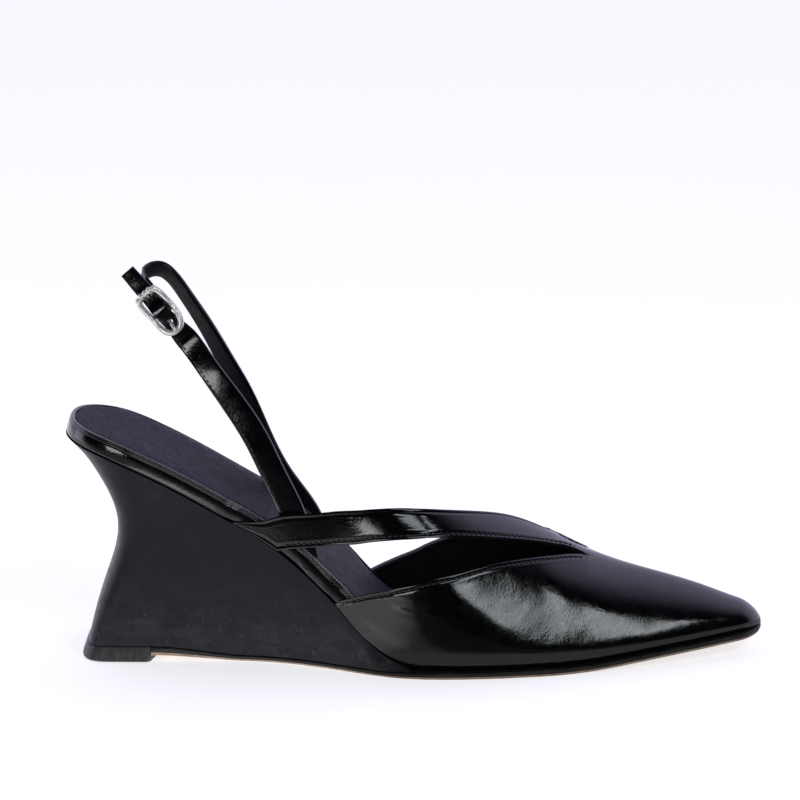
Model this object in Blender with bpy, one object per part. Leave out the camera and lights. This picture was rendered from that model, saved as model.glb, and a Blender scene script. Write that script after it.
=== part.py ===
"""A pointed slingback wedge pump for the right foot, as the separate pieces a maker puts together.

Frame: +X to the toe, +Y to the medial (inner) side, +Z up. The origin is on the floor, at mid-length.
Lengths in the tables are shares of the named sizes, so each form follows its size.
"""
import math

import bmesh
import bpy
import numpy as np
from mathutils import Matrix, Vector

MM = 0.001
GAP = 0.3 * MM

# Driving sizes of the shoe
LENGTH = 244.6 * MM
BALL_WIDTH = 78.0 * MM
HEEL_RISE = 76.6 * MM
INSTEP_HEIGHT = 56.3 * MM
TOE_SPRING = 5.0 * MM
SHANK_RISE = 2.0 * MM
SLING_HEIGHT = 137.0 * MM

# Walls and thicknesses
UPPER_WALL = 1.6 * MM
SOLE_THICKNESS = 2.7 * MM
STRIP_THICKNESS = 1.9 * MM
SOLE_BEVEL = 0.8 * MM
LIFT_THICKNESS = 5.1 * MM
LIFT_FLARE = 1.8 * MM
BREAST_BOW = 3.0 * MM
FOOTBED_THICKNESS = 6.2 * MM
SOCK_RECESS = 0.85
RIM_WIDTH = 1.4 * MM
SOCK_THICKNESS = 0.8 * MM
WAIST_INSET = 14.6 * MM
FEATHER_TUCK = 2.2 * MM
TUCK_HEIGHT = 7.0 * MM
SIDE_BULGE = 0.6 * MM

# Straps and buckle
STRAP_WIDTH = 8.8 * MM
STRAP_THICKNESS = 1.9 * MM
BUCKLE_LENGTH = 16.4 * MM
BUCKLE_WIDTH = 8.6 * MM
BUCKLE_WIRE = 2.0 * MM
BUCKLE_BEAD = 0.22
BUCKLE_DIP = 1.2 * MM
BAR_DROP = 1.9 * MM
BAR_WIRE = 1.4 * MM
PRONG_WIRE = 1.1 * MM
HOLE_DIAMETER = 1.9 * MM
HOLE_PITCH = 6.5 * MM
HOLE_FLOOR = 0.35 * MM
BILLET_TIP_THICKNESS = 1.05 * MM
FOLD_THICKNESS = 0.8 * MM

HEEL_CAP = 26.0 * MM
TOE_CAP = 8.0 * MM
FOOTBED_SHORT = 3.8 * MM
LIFT_BACK = 0.026
LIFT_FRONT = 0.1195

HALF_BALL = BALL_WIDTH / 2


def natural_cubic(xs, ys):
    """A smooth curve through points, with no bend at its two ends."""
    xs, ys = np.array(xs, float), np.array(ys, float)
    count, step = len(xs), np.diff(xs)
    matrix, right = np.zeros((count, count)), np.zeros(count)
    matrix[0, 0] = matrix[-1, -1] = 1.0
    for i in range(1, count - 1):
        matrix[i, i - 1:i + 2] = step[i - 1], 2 * (step[i - 1] + step[i]), step[i]
        right[i] = 6 * ((ys[i + 1] - ys[i]) / step[i] - (ys[i] - ys[i - 1]) / step[i - 1])
    bend = np.linalg.solve(matrix, right)

    def at(x):
        i = int(np.clip(np.searchsorted(xs, x) - 1, 0, count - 2))
        t = x - xs[i]
        slope = (ys[i + 1] - ys[i]) / step[i] - step[i] * (2 * bend[i] + bend[i + 1]) / 6
        return float(ys[i] + slope * t + bend[i] / 2 * t ** 2 + (bend[i + 1] - bend[i]) / (6 * step[i]) * t ** 3)

    return at


def level_cubic(xs, ys):
    """A curve through points that never passes beyond them, for lines with level stretches."""
    xs, ys = np.array(xs, float), np.array(ys, float)
    step = np.diff(xs)
    slope = np.diff(ys) / step
    lean = np.zeros(len(xs))
    lean[0], lean[-1] = slope[0], slope[-1]
    for i in range(1, len(xs) - 1):
        if slope[i - 1] * slope[i] > 0:
            before, after = 2 * step[i] + step[i - 1], step[i] + 2 * step[i - 1]
            lean[i] = (before + after) / (before / slope[i - 1] + after / slope[i])

    def at(x):
        x = min(max(x, xs[0]), xs[-1])
        i = int(np.clip(np.searchsorted(xs, x) - 1, 0, len(xs) - 2))
        t = (x - xs[i]) / step[i]
        rise = (1 + 2 * t) * (1 - t) ** 2 * ys[i] + t ** 2 * (3 - 2 * t) * ys[i + 1]
        return float(rise + step[i] * t * (1 - t) * ((1 - t) * lean[i] - t * lean[i + 1]))

    return at


class Table:
    """Rows of numbers under named columns, read as curves of the first column."""

    def __init__(self, curve, columns, *rows):
        self.first = [row[0] for row in rows]
        self.curves = {
            name: curve(self.first, [row[i] for row in rows])
            for i, name in enumerate(columns) if i > 0
        }

    def __call__(self, name, along):
        return self.curves[name](along)


# Half widths of the lasting edge, where footbed, wedge and upper meet, as shares of half the ball width
PLAN = Table(
    natural_cubic, ("along", "lateral", "medial"),
    (0.00, 0.635, 0.625), (0.12, 0.645, 0.620), (0.22, 0.650, 0.605), (0.32, 0.665, 0.615),
    (0.40, 0.725, 0.680), (0.45, 0.835, 0.770), (0.50, 0.940, 0.865), (0.54, 0.975, 0.922),
    (0.59, 0.965, 0.965), (0.64, 0.930, 0.977), (0.70, 0.862, 0.932), (0.79, 0.722, 0.747),
    (0.88, 0.537, 0.517), (0.94, 0.377, 0.337), (1.00, 0.200, 0.170),
)

# Half widths of the sole under the wedge and the forefoot, as shares of half the ball width
SOLE_PLAN = Table(
    natural_cubic, ("along", "lateral", "medial"),
    (0.02, 0.500, 0.500), (0.12, 0.512, 0.500), (0.20, 0.500, 0.475), (0.26, 0.515, 0.470),
    (0.335, 0.620, 0.520), (0.405, 0.800, 0.650), (0.47, 0.955, 0.830), (0.53, 1.000, 0.945),
    (0.59, 0.985, 0.990), (0.64, 0.950, 1.000), (0.70, 0.885, 0.955), (0.79, 0.745, 0.770),
    (0.88, 0.560, 0.540), (0.94, 0.400, 0.360), (1.00, 0.225, 0.195),
)

# Height of the lasting edge over the sole, as a share of the heel rise
SEAT_LINE = Table(
    level_cubic, ("along", "rise"),
    (0.000, 1.000), (0.063, 0.940), (0.120, 0.860), (0.225, 0.676), (0.303, 0.519),
    (0.381, 0.286), (0.426, 0.127), (0.465, 0.039), (0.505, 0.000), (1.000, 0.000),
)

# How far the sole stands off the floor: the forefoot as a share of the toe spring, and the strip in front
# of the heel lift as a share of the shank rise
SOLE_LINE = Table(
    level_cubic, ("along", "toe", "shank"),
    (0.000, 0.000, 1.000), (0.120, 0.000, 1.000), (0.260, 0.000, 0.000), (0.690, 0.000, 0.000),
    (0.740, 0.080, 0.000), (0.790, 0.310, 0.000), (0.845, 0.600, 0.000), (0.880, 0.750, 0.000),
    (0.940, 0.970, 0.000), (1.000, 1.180, 0.000),
)

# The footbed's thickness, as a share of its thickness at the heel
FOOTBED_TAPER = Table(
    level_cubic, ("along", "share"),
    (0.00, 1.00), (0.40, 1.00), (0.56, 0.48), (1.00, 0.36),
)

# Where the upper covers the footbed's edge, from 0 for bare to 1 for covered
COVER = Table(
    level_cubic, ("along", "lateral", "medial"),
    (0.000, 0.0, 0.0), (0.224, 0.0, 0.0), (0.236, 1.0, 0.0), (0.332, 1.0, 0.0), (0.344, 0.0, 0.0),
    (0.366, 0.0, 0.0), (0.378, 1.0, 0.0), (0.386, 1.0, 0.0), (0.396, 1.0, 1.0), (1.000, 1.0, 1.0),
)

# The last over the lasting edge: crest height over the floor as a share of the instep height, its shift to the
# medial side as a share of half the ball width, and how square the section is
LAST = Table(
    natural_cubic, ("along", "crest", "shift", "square"),
    (0.20, 2.300, 0.000, 3.10), (0.30, 1.905, 0.000, 3.10), (0.39, 1.515, 0.015, 3.10),
    (0.44, 1.345, 0.025, 3.05), (0.47, 1.258, 0.035, 2.98), (0.53, 1.110, 0.050, 2.55),
    (0.62, 0.900, 0.060, 2.00), (0.685, 0.748, 0.060, 1.83), (0.736, 0.634, 0.050, 1.76),
    (0.796, 0.535, 0.040, 1.66), (0.863, 0.454, 0.030, 1.60), (0.92, 0.376, 0.020, 1.66),
    (0.963, 0.306, 0.012, 1.82), (1.00, 0.255, 0.008, 2.05),
)

# Edges of the upper, as shares of the girth from the lateral (0) over the crest (0.5) to the medial (1)
VAMP_EDGE = Table(
    natural_cubic, ("along", "girth"),
    (0.385, 0.000), (0.409, 0.0472), (0.4416, 0.0933), (0.4767, 0.129), (0.5116, 0.1577), (0.5465, 0.1845),
    (0.6173, 0.2587), (0.6752, 0.334), (0.7048, 0.3808), (0.735, 0.430), (0.752, 0.448),
)
BAND_LOWER = Table(
    natural_cubic, ("along", "girth"),
    (0.304, 0.000), (0.3403, 0.045), (0.3906, 0.1114), (0.4347, 0.166), (0.4767, 0.2049), (0.5326, 0.2512),
    (0.618, 0.3334), (0.6616, 0.3831), (0.7059, 0.4362), (0.735, 0.4555), (0.752, 0.448),
)
BAND_UPPER = Table(
    natural_cubic, ("along", "girth"),
    (0.241, 0.000), (0.262, 0.016), (0.2816, 0.0331), (0.3013, 0.0574), (0.3407, 0.1045), (0.4024, 0.182),
    (0.4766, 0.2615), (0.5327, 0.319), (0.590, 0.3946), (0.6414, 0.4694), (0.6856, 0.5091), (0.707, 0.523),
)
FAR_EDGE = Table(
    natural_cubic, ("along", "girth"),
    (0.405, 1.000), (0.429, 0.968), (0.447, 0.943), (0.475, 0.914), (0.523, 0.873), (0.580, 0.820),
    (0.631, 0.750), (0.661, 0.692), (0.685, 0.620), (0.707, 0.523),
)
LEAF_TIP = 0.752
THROAT_TIP = 0.707

# The wedge's back profile: how far it draws in, as a share of the waist inset
WAIST = Table(
    natural_cubic, ("height", "inset"),
    (0.00, 0.000), (0.10, 0.165), (0.25, 0.460), (0.40, 0.790), (0.53, 0.985), (0.63, 1.000),
    (0.74, 0.850), (0.85, 0.580), (0.94, 0.285), (1.00, 0.000),
)

# Strap routes: share of the length, share of half the ball width, share of the sling height, and in
# degrees how far the strap's width leans back from the toe and how far it turns to the lateral side
BILLET_ROUTE = (
    (0.3420, -0.578, 0.275, 18, 0), (0.3240, -0.568, 0.404, 20, 0), (0.3004, -0.542, 0.4955, 23, 0),
    (0.2747, -0.503, 0.590, 27, 0), (0.2446, -0.451, 0.673, 32, 0), (0.2035, -0.362, 0.771, 38, 0),
)
SLING_ROUTE = (
    (0.3568, 0.584, 0.215, 18, 0), (0.3373, 0.584, 0.303, 20, 0), (0.2993, 0.564, 0.414, 22, 8),
    (0.2662, 0.539, 0.548, 26, 20), (0.2460, 0.500, 0.641, 29, 30), (0.2240, 0.462, 0.722, 33, 40),
    (0.1962, 0.411, 0.819, 37, 48), (0.1661, 0.346, 0.911, 43, 52), (0.1481, 0.295, 0.957, 52, 50),
    (0.1320, 0.215, 0.978, 66, 35),
)
BUCKLE_CENTRE = (0.1429, -0.3205, 0.901)
BUCKLE_AXIS = (-0.655, 0.075, 0.752)
BUCKLE_LEAN = 41.0


def x_at(along):
    return (along - 0.5) * LENGTH


def toe_lift(along):
    return TOE_SPRING * SOLE_LINE("toe", along)


def sole_thickness(along):
    """Thick under the forefoot, thin along the wedge, and thicker again at its rear end."""
    share = min(max((along - 0.44) / 0.10, 0.0), 1.0)
    ahead = (SOLE_THICKNESS - GAP - STRIP_THICKNESS) * share * share * (3 - 2 * share)
    rear = (LIFT_THICKNESS - SHANK_RISE - STRIP_THICKNESS) * SOLE_LINE("shank", along)
    return STRIP_THICKNESS + ahead + rear


def sole_bottom(along):
    return toe_lift(along) + SHANK_RISE * SOLE_LINE("shank", along)


def seat_point(along, depth=0.0):
    """A point of the lasting edge's side view, raised square to it by depth."""
    def height(share):
        return SOLE_THICKNESS + toe_lift(share) + HEEL_RISE * SEAT_LINE("rise", share)

    step = 0.004
    low, high = max(along - step, 0.0), min(along + step, 1.0)
    slope = (height(high) - height(low)) / ((high - low) * LENGTH)
    reach = math.hypot(1.0, slope)
    return x_at(along) - slope / reach * depth, height(along) + depth / reach


def squircle(angle, square):
    """The unit superellipse at an angle from the side axis, as (side, up)."""
    side, up = math.cos(angle), math.sin(angle)
    reach = (abs(side) ** square + abs(up) ** square) ** (-1.0 / square)
    return side * reach, up * reach


def plan_stations(start, end, count, heel_square=None, toe=True, heel_cap=HEEL_CAP, caps=7):
    """Stations along the plan as (along, width factor), closing round at the heel and the toe."""
    stations = []
    heel_share, toe_share = heel_cap / LENGTH, TOE_CAP / LENGTH
    first = start + heel_share if heel_square else start
    last = end - toe_share if toe else end
    if heel_square:
        for k in range(1, caps):
            back, side = squircle(math.radians(90 * k / caps), heel_square)
            stations.append((first - heel_share * back, side))
    stations += [(first + (last - first) * k / count, 1.0) for k in range(count + 1)]
    if toe:
        for k in range(1, caps):
            side, ahead = squircle(math.radians(90 * k / caps), 2.0)
            stations.append((last + toe_share * ahead, side))
    return stations


def plan_loop(plan, stations, start, end):
    """A closed outline in the plan: the back centre, the lateral side, the front centre, the medial side."""
    lateral = [(s, -HALF_BALL * plan("lateral", s) * close) for s, close in stations]
    medial = [(s, HALF_BALL * plan("medial", s) * close) for s, close in stations]
    return [(start, 0.0)] + lateral + [(end, 0.0)] + medial[::-1]


def inset_loop(loop, distance):
    """The outline moved square to itself by a distance, or by a function of the station."""
    points = [Vector((x_at(s), y)) for s, y in loop]
    moved = []
    for i, point in enumerate(points):
        along = points[(i + 1) % len(points)] - points[i - 1]
        inward = Vector((-along.y, along.x)).normalized()
        step = distance(*loop[i]) if callable(distance) else distance
        place = point + inward * step
        moved.append((place.x / LENGTH + 0.5, place.y))
    return moved


def leather(name, colour, roughness, metallic=0.0):
    material = bpy.data.materials.new(name)
    material.use_nodes = True
    shader = material.node_tree.nodes["Principled BSDF"]
    shader.inputs["Base Color"].default_value = (*colour, 1.0)
    shader.inputs["Roughness"].default_value = roughness
    shader.inputs["Metallic"].default_value = metallic
    return material


def add_object(name, material, builder):
    """Put a finished mesh in the scene, with its faces turned out."""
    bmesh.ops.remove_doubles(builder, verts=builder.verts, dist=0.002 * MM)
    bmesh.ops.recalc_face_normals(builder, faces=builder.faces)
    mesh = bpy.data.meshes.new(name)
    builder.to_mesh(mesh)
    builder.free()
    mesh.shade_smooth()
    mesh.set_sharp_from_angle(angle=math.radians(35))
    mesh.materials.append(material)
    piece = bpy.data.objects.new(name, mesh)
    bpy.context.scene.collection.objects.link(piece)
    return piece


def loft(name, material, rings, ladder=True):
    """A closed solid through rings of as many points each, capped by rungs across or by fans."""
    builder = bmesh.new()
    rows = [[builder.verts.new(point) for point in ring] for ring in rings]
    count = len(rows[0])
    for low, high in zip(rows, rows[1:]):
        for i in range(count):
            builder.faces.new((low[i - 1], low[i], high[i], high[i - 1]))
    for ring in (rows[0], rows[-1]):
        if not ladder:
            builder.faces.new(ring)
            continue
        for i in range(count // 2):
            corners = [ring[i], ring[i + 1], ring[(count - i - 1) % count], ring[(count - i) % count]]
            builder.faces.new(list(dict.fromkeys(corners)))
    return add_object(name, material, builder)


def make_outsole(material):
    """The leather sole: a thin strip under the wedge, thicker under the forefoot, with a bevelled foot edge."""
    cut = LIFT_FRONT + GAP / LENGTH
    stations = plan_stations(cut, 1.0, 30)
    edge = plan_loop(SOLE_PLAN, stations, cut, 1.0)
    foot = inset_loop(edge, SOLE_BEVEL)
    rear = (0, 1, len(edge) - 1)
    bow = BREAST_BOW / LENGTH

    def ring(loop, share):
        points = []
        for i, (s, y) in enumerate(loop):
            if i in rear:
                s = cut + (bow if i == 0 else 0.0)
            points.append((x_at(s), y, sole_bottom(s) + share * sole_thickness(s)))
        return points

    return loft("outsole", material, [ring(foot, 0.0), ring(edge, 0.30), ring(edge, 1.0)])


def lift_loop(inset):
    """The top piece's outline: a front that bows forward, and round back corners."""
    back, front = LIFT_BACK, LIFT_FRONT
    stations = plan_stations(back, front, 3, heel_square=4.6, toe=False, heel_cap=11.0 * MM, caps=8)
    loop = inset_loop(plan_loop(SOLE_PLAN, stations, back, front), inset)
    half = len(loop) // 2
    for i in (half - 1, half, half + 1):
        loop[i] = (front + (BREAST_BOW / LENGTH if i == half else 0.0), loop[i][1])
    return loop


def make_heel_lift(material):
    """The plastic top piece, flared towards the floor."""
    rings = []
    for height, inset in ((0.0, 0.5 * MM - LIFT_FLARE), (0.5 * MM, -LIFT_FLARE), (LIFT_THICKNESS, 0.0)):
        rings.append([(x_at(s), y, height) for s, y in lift_loop(inset)])
    return loft("heel_lift", material, rings)


def make_wedge(material):
    """The covered wedge: from the sole's outline up to the footbed's, drawn in at the waist of its back."""
    front_top, front_foot = 0.487, 0.492
    top_stations = plan_stations(0.0, front_top, 24, heel_square=2.25, toe=False, caps=9)
    foot_stations = plan_stations(
        LIFT_BACK, front_foot, 24, heel_square=4.6, toe=False, heel_cap=11.0 * MM, caps=9)
    top = plan_loop(PLAN, top_stations, 0.0, front_top)
    foot = inset_loop(plan_loop(SOLE_PLAN, foot_stations, LIFT_BACK, front_foot), 0.4 * MM)
    half = len(foot) // 2
    for i in (half - 1, half, half + 1):
        foot[i] = (front_foot, foot[i][1])
    rings = []
    levels = 10
    for k in range(levels + 1):
        level = k / levels
        ring = []
        for (s_top, y_top), (s_foot, y_foot) in zip(top, foot):
            x_top, z_top = seat_point(s_top, -GAP)
            z_foot = GAP + (LIFT_THICKNESS if s_foot < LIFT_FRONT else sole_bottom(s_foot) + sole_thickness(s_foot))
            near_back = max(1.0 - s_top / 0.30, 0.0) ** 1.5
            x = x_at(s_foot) + (x_top - x_at(s_foot)) * level + WAIST_INSET * WAIST("inset", level) * near_back
            y = y_foot + (y_top - y_foot) * level ** 1.15
            ring.append((x, y, z_foot + (max(z_top, z_foot + 0.4 * MM) - z_foot) * level))
        rings.append(ring)
    return loft("wedge", material, rings)


def forepart(s):
    """From 0 behind the arch to 1 at the ball."""
    return min(max((s - 0.40) / 0.15, 0.0), 1.0)


def footbed_inset(s, y):
    """How far the footbed draws in where the upper's wall covers its edge: the band, then the vamp."""
    share = COVER("lateral" if y <= 0 else "medial", s)
    tucked = (FEATHER_TUCK - SIDE_BULGE) * forepart(s)
    return (UPPER_WALL * 1.25 + GAP) * share + tucked


def seat_ring(loop, depth):
    """A ring of the footbed's outline, raised square to the lasting edge by a depth."""
    ring = []
    for s, y in loop:
        x, z = seat_point(min(max(s, 0.0), 1.0), depth(s))
        ring.append((x, y, z))
    return ring


def footbed_depth(s, share=1.0):
    return FOOTBED_THICKNESS * FOOTBED_TAPER("share", s) * share


def footbed_loop():
    end = 1.0 - FOOTBED_SHORT / LENGTH
    stations = plan_stations(0.0, end, 34, heel_square=2.25, caps=9)
    return plan_loop(PLAN, stations, 0.0, end)


def make_footbed(material):
    """The wrapped insole board, whose thick edge shows as the rand, with a shallow bed for the sock."""
    loop = footbed_loop()
    profile = ((0.00, 0.7 * MM), (0.14, 0.0), (0.80, 0.0), (0.94, 0.2 * MM), (1.00, 0.8 * MM),
               (1.00, RIM_WIDTH), (SOCK_RECESS, RIM_WIDTH + 0.2 * MM))
    rings = []
    for share, inset in profile:
        outline = inset_loop(loop, lambda s, y, inset=inset: inset + footbed_inset(s, y))
        rings.append(seat_ring(outline, lambda s, share=share: footbed_depth(s, share)))
    return loft("footbed", material, rings)


def make_sock(material):
    """The sock lining, laid on the footbed and a little smaller."""
    loop = footbed_loop()
    rings = []
    for rise, inset in ((GAP, 0.0), (GAP + 0.6 * SOCK_THICKNESS, 0.0), (GAP + SOCK_THICKNESS, 0.5 * MM)):
        outline = inset_loop(loop, lambda s, y, inset=inset: RIM_WIDTH + 0.6 * MM + inset + footbed_inset(s, y))
        rings.append(seat_ring(outline, lambda s, rise=rise: footbed_depth(s, SOCK_RECESS) + rise))
    return loft("sock", material, rings)


def toe_close(s):
    """How far the last is still open, from 1 back to 0 at its very tip."""
    left = min((1.0 - s) * LENGTH / TOE_CAP, 1.0)
    return math.sqrt(max(1.0 - (1.0 - left) ** 2, 0.0))


def last_point(s, girth):
    """A point of the last's surface: 0 at the lateral lasting edge, 0.5 on the crest, 1 at the medial."""
    close = toe_close(s)
    side, up = squircle(math.pi * girth, LAST("square", s))
    shift = HALF_BALL * LAST("shift", s) * close
    lateral = side > 0
    half = HALF_BALL * PLAN("lateral" if lateral else "medial", s) * close + (shift if lateral else -shift)
    x, z = seat_point(s)
    height = (INSTEP_HEIGHT * LAST("crest", s) - z) * close * up
    tuck = FEATHER_TUCK * max(1.0 - height / TUCK_HEIGHT, 0.0) ** 2
    swell = forepart(s) * close * (SIDE_BULGE - tuck)
    return Vector((x, shift - (half + swell) * side, z + height))


def upper_stations(density):
    """Stations along the upper, with one at each start and tip of its openings."""
    fixed = [BAND_UPPER.first[0], BAND_LOWER.first[0], VAMP_EDGE.first[0], FAR_EDGE.first[0],
             THROAT_TIP, LEAF_TIP, 1.0 - TOE_CAP / LENGTH]
    stations = []
    for start, end in zip(fixed, fixed[1:]):
        count = max(round((end - start) * density), 1)
        stations += [start + (end - start) * k / count for k in range(count)]
    caps = 6
    return stations + [
        fixed[-1] + TOE_CAP / LENGTH * math.sin(math.radians(90 * k / caps)) for k in range(caps + 1)]


def strip_bounds(s):
    """The three strips of the upper at a station: where each starts, and its two edges."""
    leaf = VAMP_EDGE("girth", min(s, LEAF_TIP))
    throat = BAND_UPPER("girth", min(s, THROAT_TIP))
    low = BAND_LOWER("girth", min(s, LEAF_TIP)) if s > BAND_LOWER.first[0] else 0.0
    far = FAR_EDGE("girth", min(s, THROAT_TIP))
    return (
        (VAMP_EDGE.first[0], 0.0, leaf),
        (BAND_UPPER.first[0], low, throat),
        (FAR_EDGE.first[0], far, 1.0),
    )


def upper_sheet(density, rows):
    """The outer face of the upper: vamp side, band and medial side, joined in front of the openings."""
    builder = bmesh.new()
    for strip, count in enumerate(rows):
        previous = None
        for s in upper_stations(density):
            start, low, high = strip_bounds(s)[strip]
            if s < start - 1e-9:
                continue
            row = [builder.verts.new(last_point(s, low + (high - low) * j / count)) for j in range(count + 1)]
            if previous:
                for j in range(count):
                    builder.faces.new((previous[j], previous[j + 1], row[j + 1], row[j]))
            previous = row
    bmesh.ops.remove_doubles(builder, verts=builder.verts, dist=0.01 * MM)
    return builder


def make_upper(material):
    """The vamp with its V throat and the band over the instep: one wall of real thickness."""
    builder = upper_sheet(52, (7, 4, 9))
    piece = add_object("upper", material, builder)
    wall = piece.modifiers.new("wall", "SOLIDIFY")
    wall.thickness = UPPER_WALL
    wall.offset = -1.0
    return piece


def route_point(row):
    return Vector((x_at(row[0]), row[1] * HALF_BALL, row[2] * SLING_HEIGHT))


def buckle_frame_axes():
    """The buckle's place: its centre, its axis to the tail, its width and its outward side."""
    centre = route_point(BUCKLE_CENTRE)
    axis = Vector(BUCKLE_AXIS).normalized()
    lean = math.radians(BUCKLE_LEAN)
    width = Vector((math.cos(lean), 0.0, math.sin(lean)))
    width = (width - axis * width.dot(axis)).normalized()
    outward = axis.cross(width).normalized()
    if outward.y > 0:
        outward = -outward
    return centre, axis, width, outward


def at_buckle(u, w, v=0.0):
    centre, axis, width, outward = buckle_frame_axes()
    return centre + axis * u + width * v + outward * w


def smooth_path(points, tilts, turns, widths, thicks, count):
    """Points, width directions, widths and thicknesses along a smooth curve through a strap's route."""
    lengths = [0.0]
    for a, b in zip(points, points[1:]):
        lengths.append(lengths[-1] + (b - a).length)
    curves = [natural_cubic(lengths, [p[i] for p in points]) for i in range(3)]
    curves += [level_cubic(lengths, values) for values in (tilts, turns, widths, thicks)]
    path = []
    for k in range(count + 1):
        d = lengths[-1] * k / count
        x, y, z, tilt, turn, width, thick = (curve(d) for curve in curves)
        lean, side = math.radians(tilt), math.radians(turn)
        across = Vector((math.cos(lean) * math.cos(side), -math.sin(side), math.sin(lean) * math.cos(side)))
        path.append((Vector((x, y, z)), across, width, thick))
    return path


def ribbon_rings(path):
    """Flat eight-sided rings along a strap, its width held at the given lean."""
    rings = []
    for k, (point, across, width, thick) in enumerate(path):
        ahead = path[min(k + 1, len(path) - 1)][0]
        behind = path[max(k - 1, 0)][0]
        along = (ahead - behind).normalized()
        across = (across - along * across.dot(along)).normalized()
        face = along.cross(across)
        soft = 0.3 * thick
        half, deep = width / 2, thick / 2
        outline = ((-half, -deep + soft), (-half + soft, -deep), (half - soft, -deep), (half, -deep + soft),
                   (half, deep - soft), (half - soft, deep), (-half + soft, deep), (-half, deep - soft))
        rings.append([point + across * a + face * b for a, b in outline])
    return rings


def cut_with(piece, cutter):
    """Cut a piece by a guide solid, which stays hidden."""
    cutter.hide_render = True
    cutter.display_type = "WIRE"
    cut = piece.modifiers.new("cut", "BOOLEAN")
    cut.operation = "DIFFERENCE"
    cut.object = cutter


def add_guide(name, builder):
    """Put a guide solid in the scene, with its faces turned out."""
    bmesh.ops.recalc_face_normals(builder, faces=builder.faces)
    mesh = bpy.data.meshes.new(name)
    builder.to_mesh(mesh)
    builder.free()
    guide = bpy.data.objects.new(name, mesh)
    bpy.context.scene.collection.objects.link(guide)
    return guide


def peg(name, place, along, diameter, length):
    """A round guide solid for a hole."""
    builder = bmesh.new()
    turn = along.to_track_quat("Z", "Y").to_matrix().to_4x4()
    bmesh.ops.create_cone(
        builder, cap_ends=True, segments=12, radius1=diameter / 2, radius2=diameter / 2, depth=length,
        matrix=Matrix.Translation(place) @ turn)
    return add_guide(name, builder)


def seat_on_footbed(piece):
    """Cut a strap's foot to the slope of the footbed that it stands on."""
    builder = bmesh.new()
    rows = []
    for k in range(9):
        s = 0.26 + 0.20 * k / 8
        x, z = seat_point(s, footbed_depth(s) + GAP)
        rows.append([builder.verts.new((x, y, height))
                     for y, height in ((-HALF_BALL, 0.0), (HALF_BALL, 0.0), (HALF_BALL, z), (-HALF_BALL, z))])
    for low, high in zip(rows, rows[1:]):
        for i in range(4):
            builder.faces.new((low[i - 1], low[i], high[i], high[i - 1]))
    builder.faces.new(rows[0])
    builder.faces.new(rows[-1])
    cut_with(piece, add_guide(piece.name + "_seat", builder))


def make_billet_strap(material):
    """The lateral sling strap: up from the footbed inside the band, through the buckle, to its free tail."""
    thin = BILLET_TIP_THICKNESS
    end = BUCKLE_LENGTH / 2
    under = -(BUCKLE_WIRE / 2 * (1 + BUCKLE_BEAD) + GAP + thin / 2)
    points = [route_point(row) for row in BILLET_ROUTE]
    tilts = [row[3] for row in BILLET_ROUTE]
    widths = [STRAP_WIDTH * share for share in (1.05, 1.03, 1.0, 1.0, 0.97, 0.90)]
    thicks = [STRAP_THICKNESS] * 5 + [STRAP_THICKNESS * 0.9]
    threading = (
        (-1.55, 1.15, 0.92), (-1.15, 1.08, 0.84), (-0.75, 1.10, 0.70), (-0.38, 0.46, 0.67), (0.0, -0.02, 0.66),
        (0.38, 0.42, 0.67), (0.76, 1.10, 0.68), (1.15, 1.10, 0.68), (1.60, 1.14, 0.66), (2.20, 1.18, 0.62),
    )
    for u, w, share in threading:
        points.append(at_buckle(end * u, under * w))
        tilts.append(BUCKLE_LEAN)
        widths.append(STRAP_WIDTH * share)
        thicks.append(thin)
    path = smooth_path(points, tilts, [0] * len(points), widths, thicks, 52)
    piece = loft("billet_strap", material, ribbon_rings(path), ladder=False)
    seat_on_footbed(piece)
    outward = buckle_frame_axes()[3]
    below_frame = -end - BUCKLE_WIRE / 2 - 3.6 * MM
    places = [at_buckle(below_frame - HOLE_PITCH * k, under) for k in range(2)]
    for k, place in enumerate(places):
        nearest = min(path, key=lambda station: (station[0] - place).length)[0]
        middle = nearest + outward * (2.0 * MM - HOLE_FLOOR)
        cut_with(piece, peg(f"hole_{k + 1}", middle, outward, HOLE_DIAMETER, 4 * MM))
    through = PRONG_WIRE + 1.7 * MM
    cut_with(piece, peg("prong_hole", at_buckle(-0.55 * end, 0.7 * under), outward, through, 4 * MM))
    return piece


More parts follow.
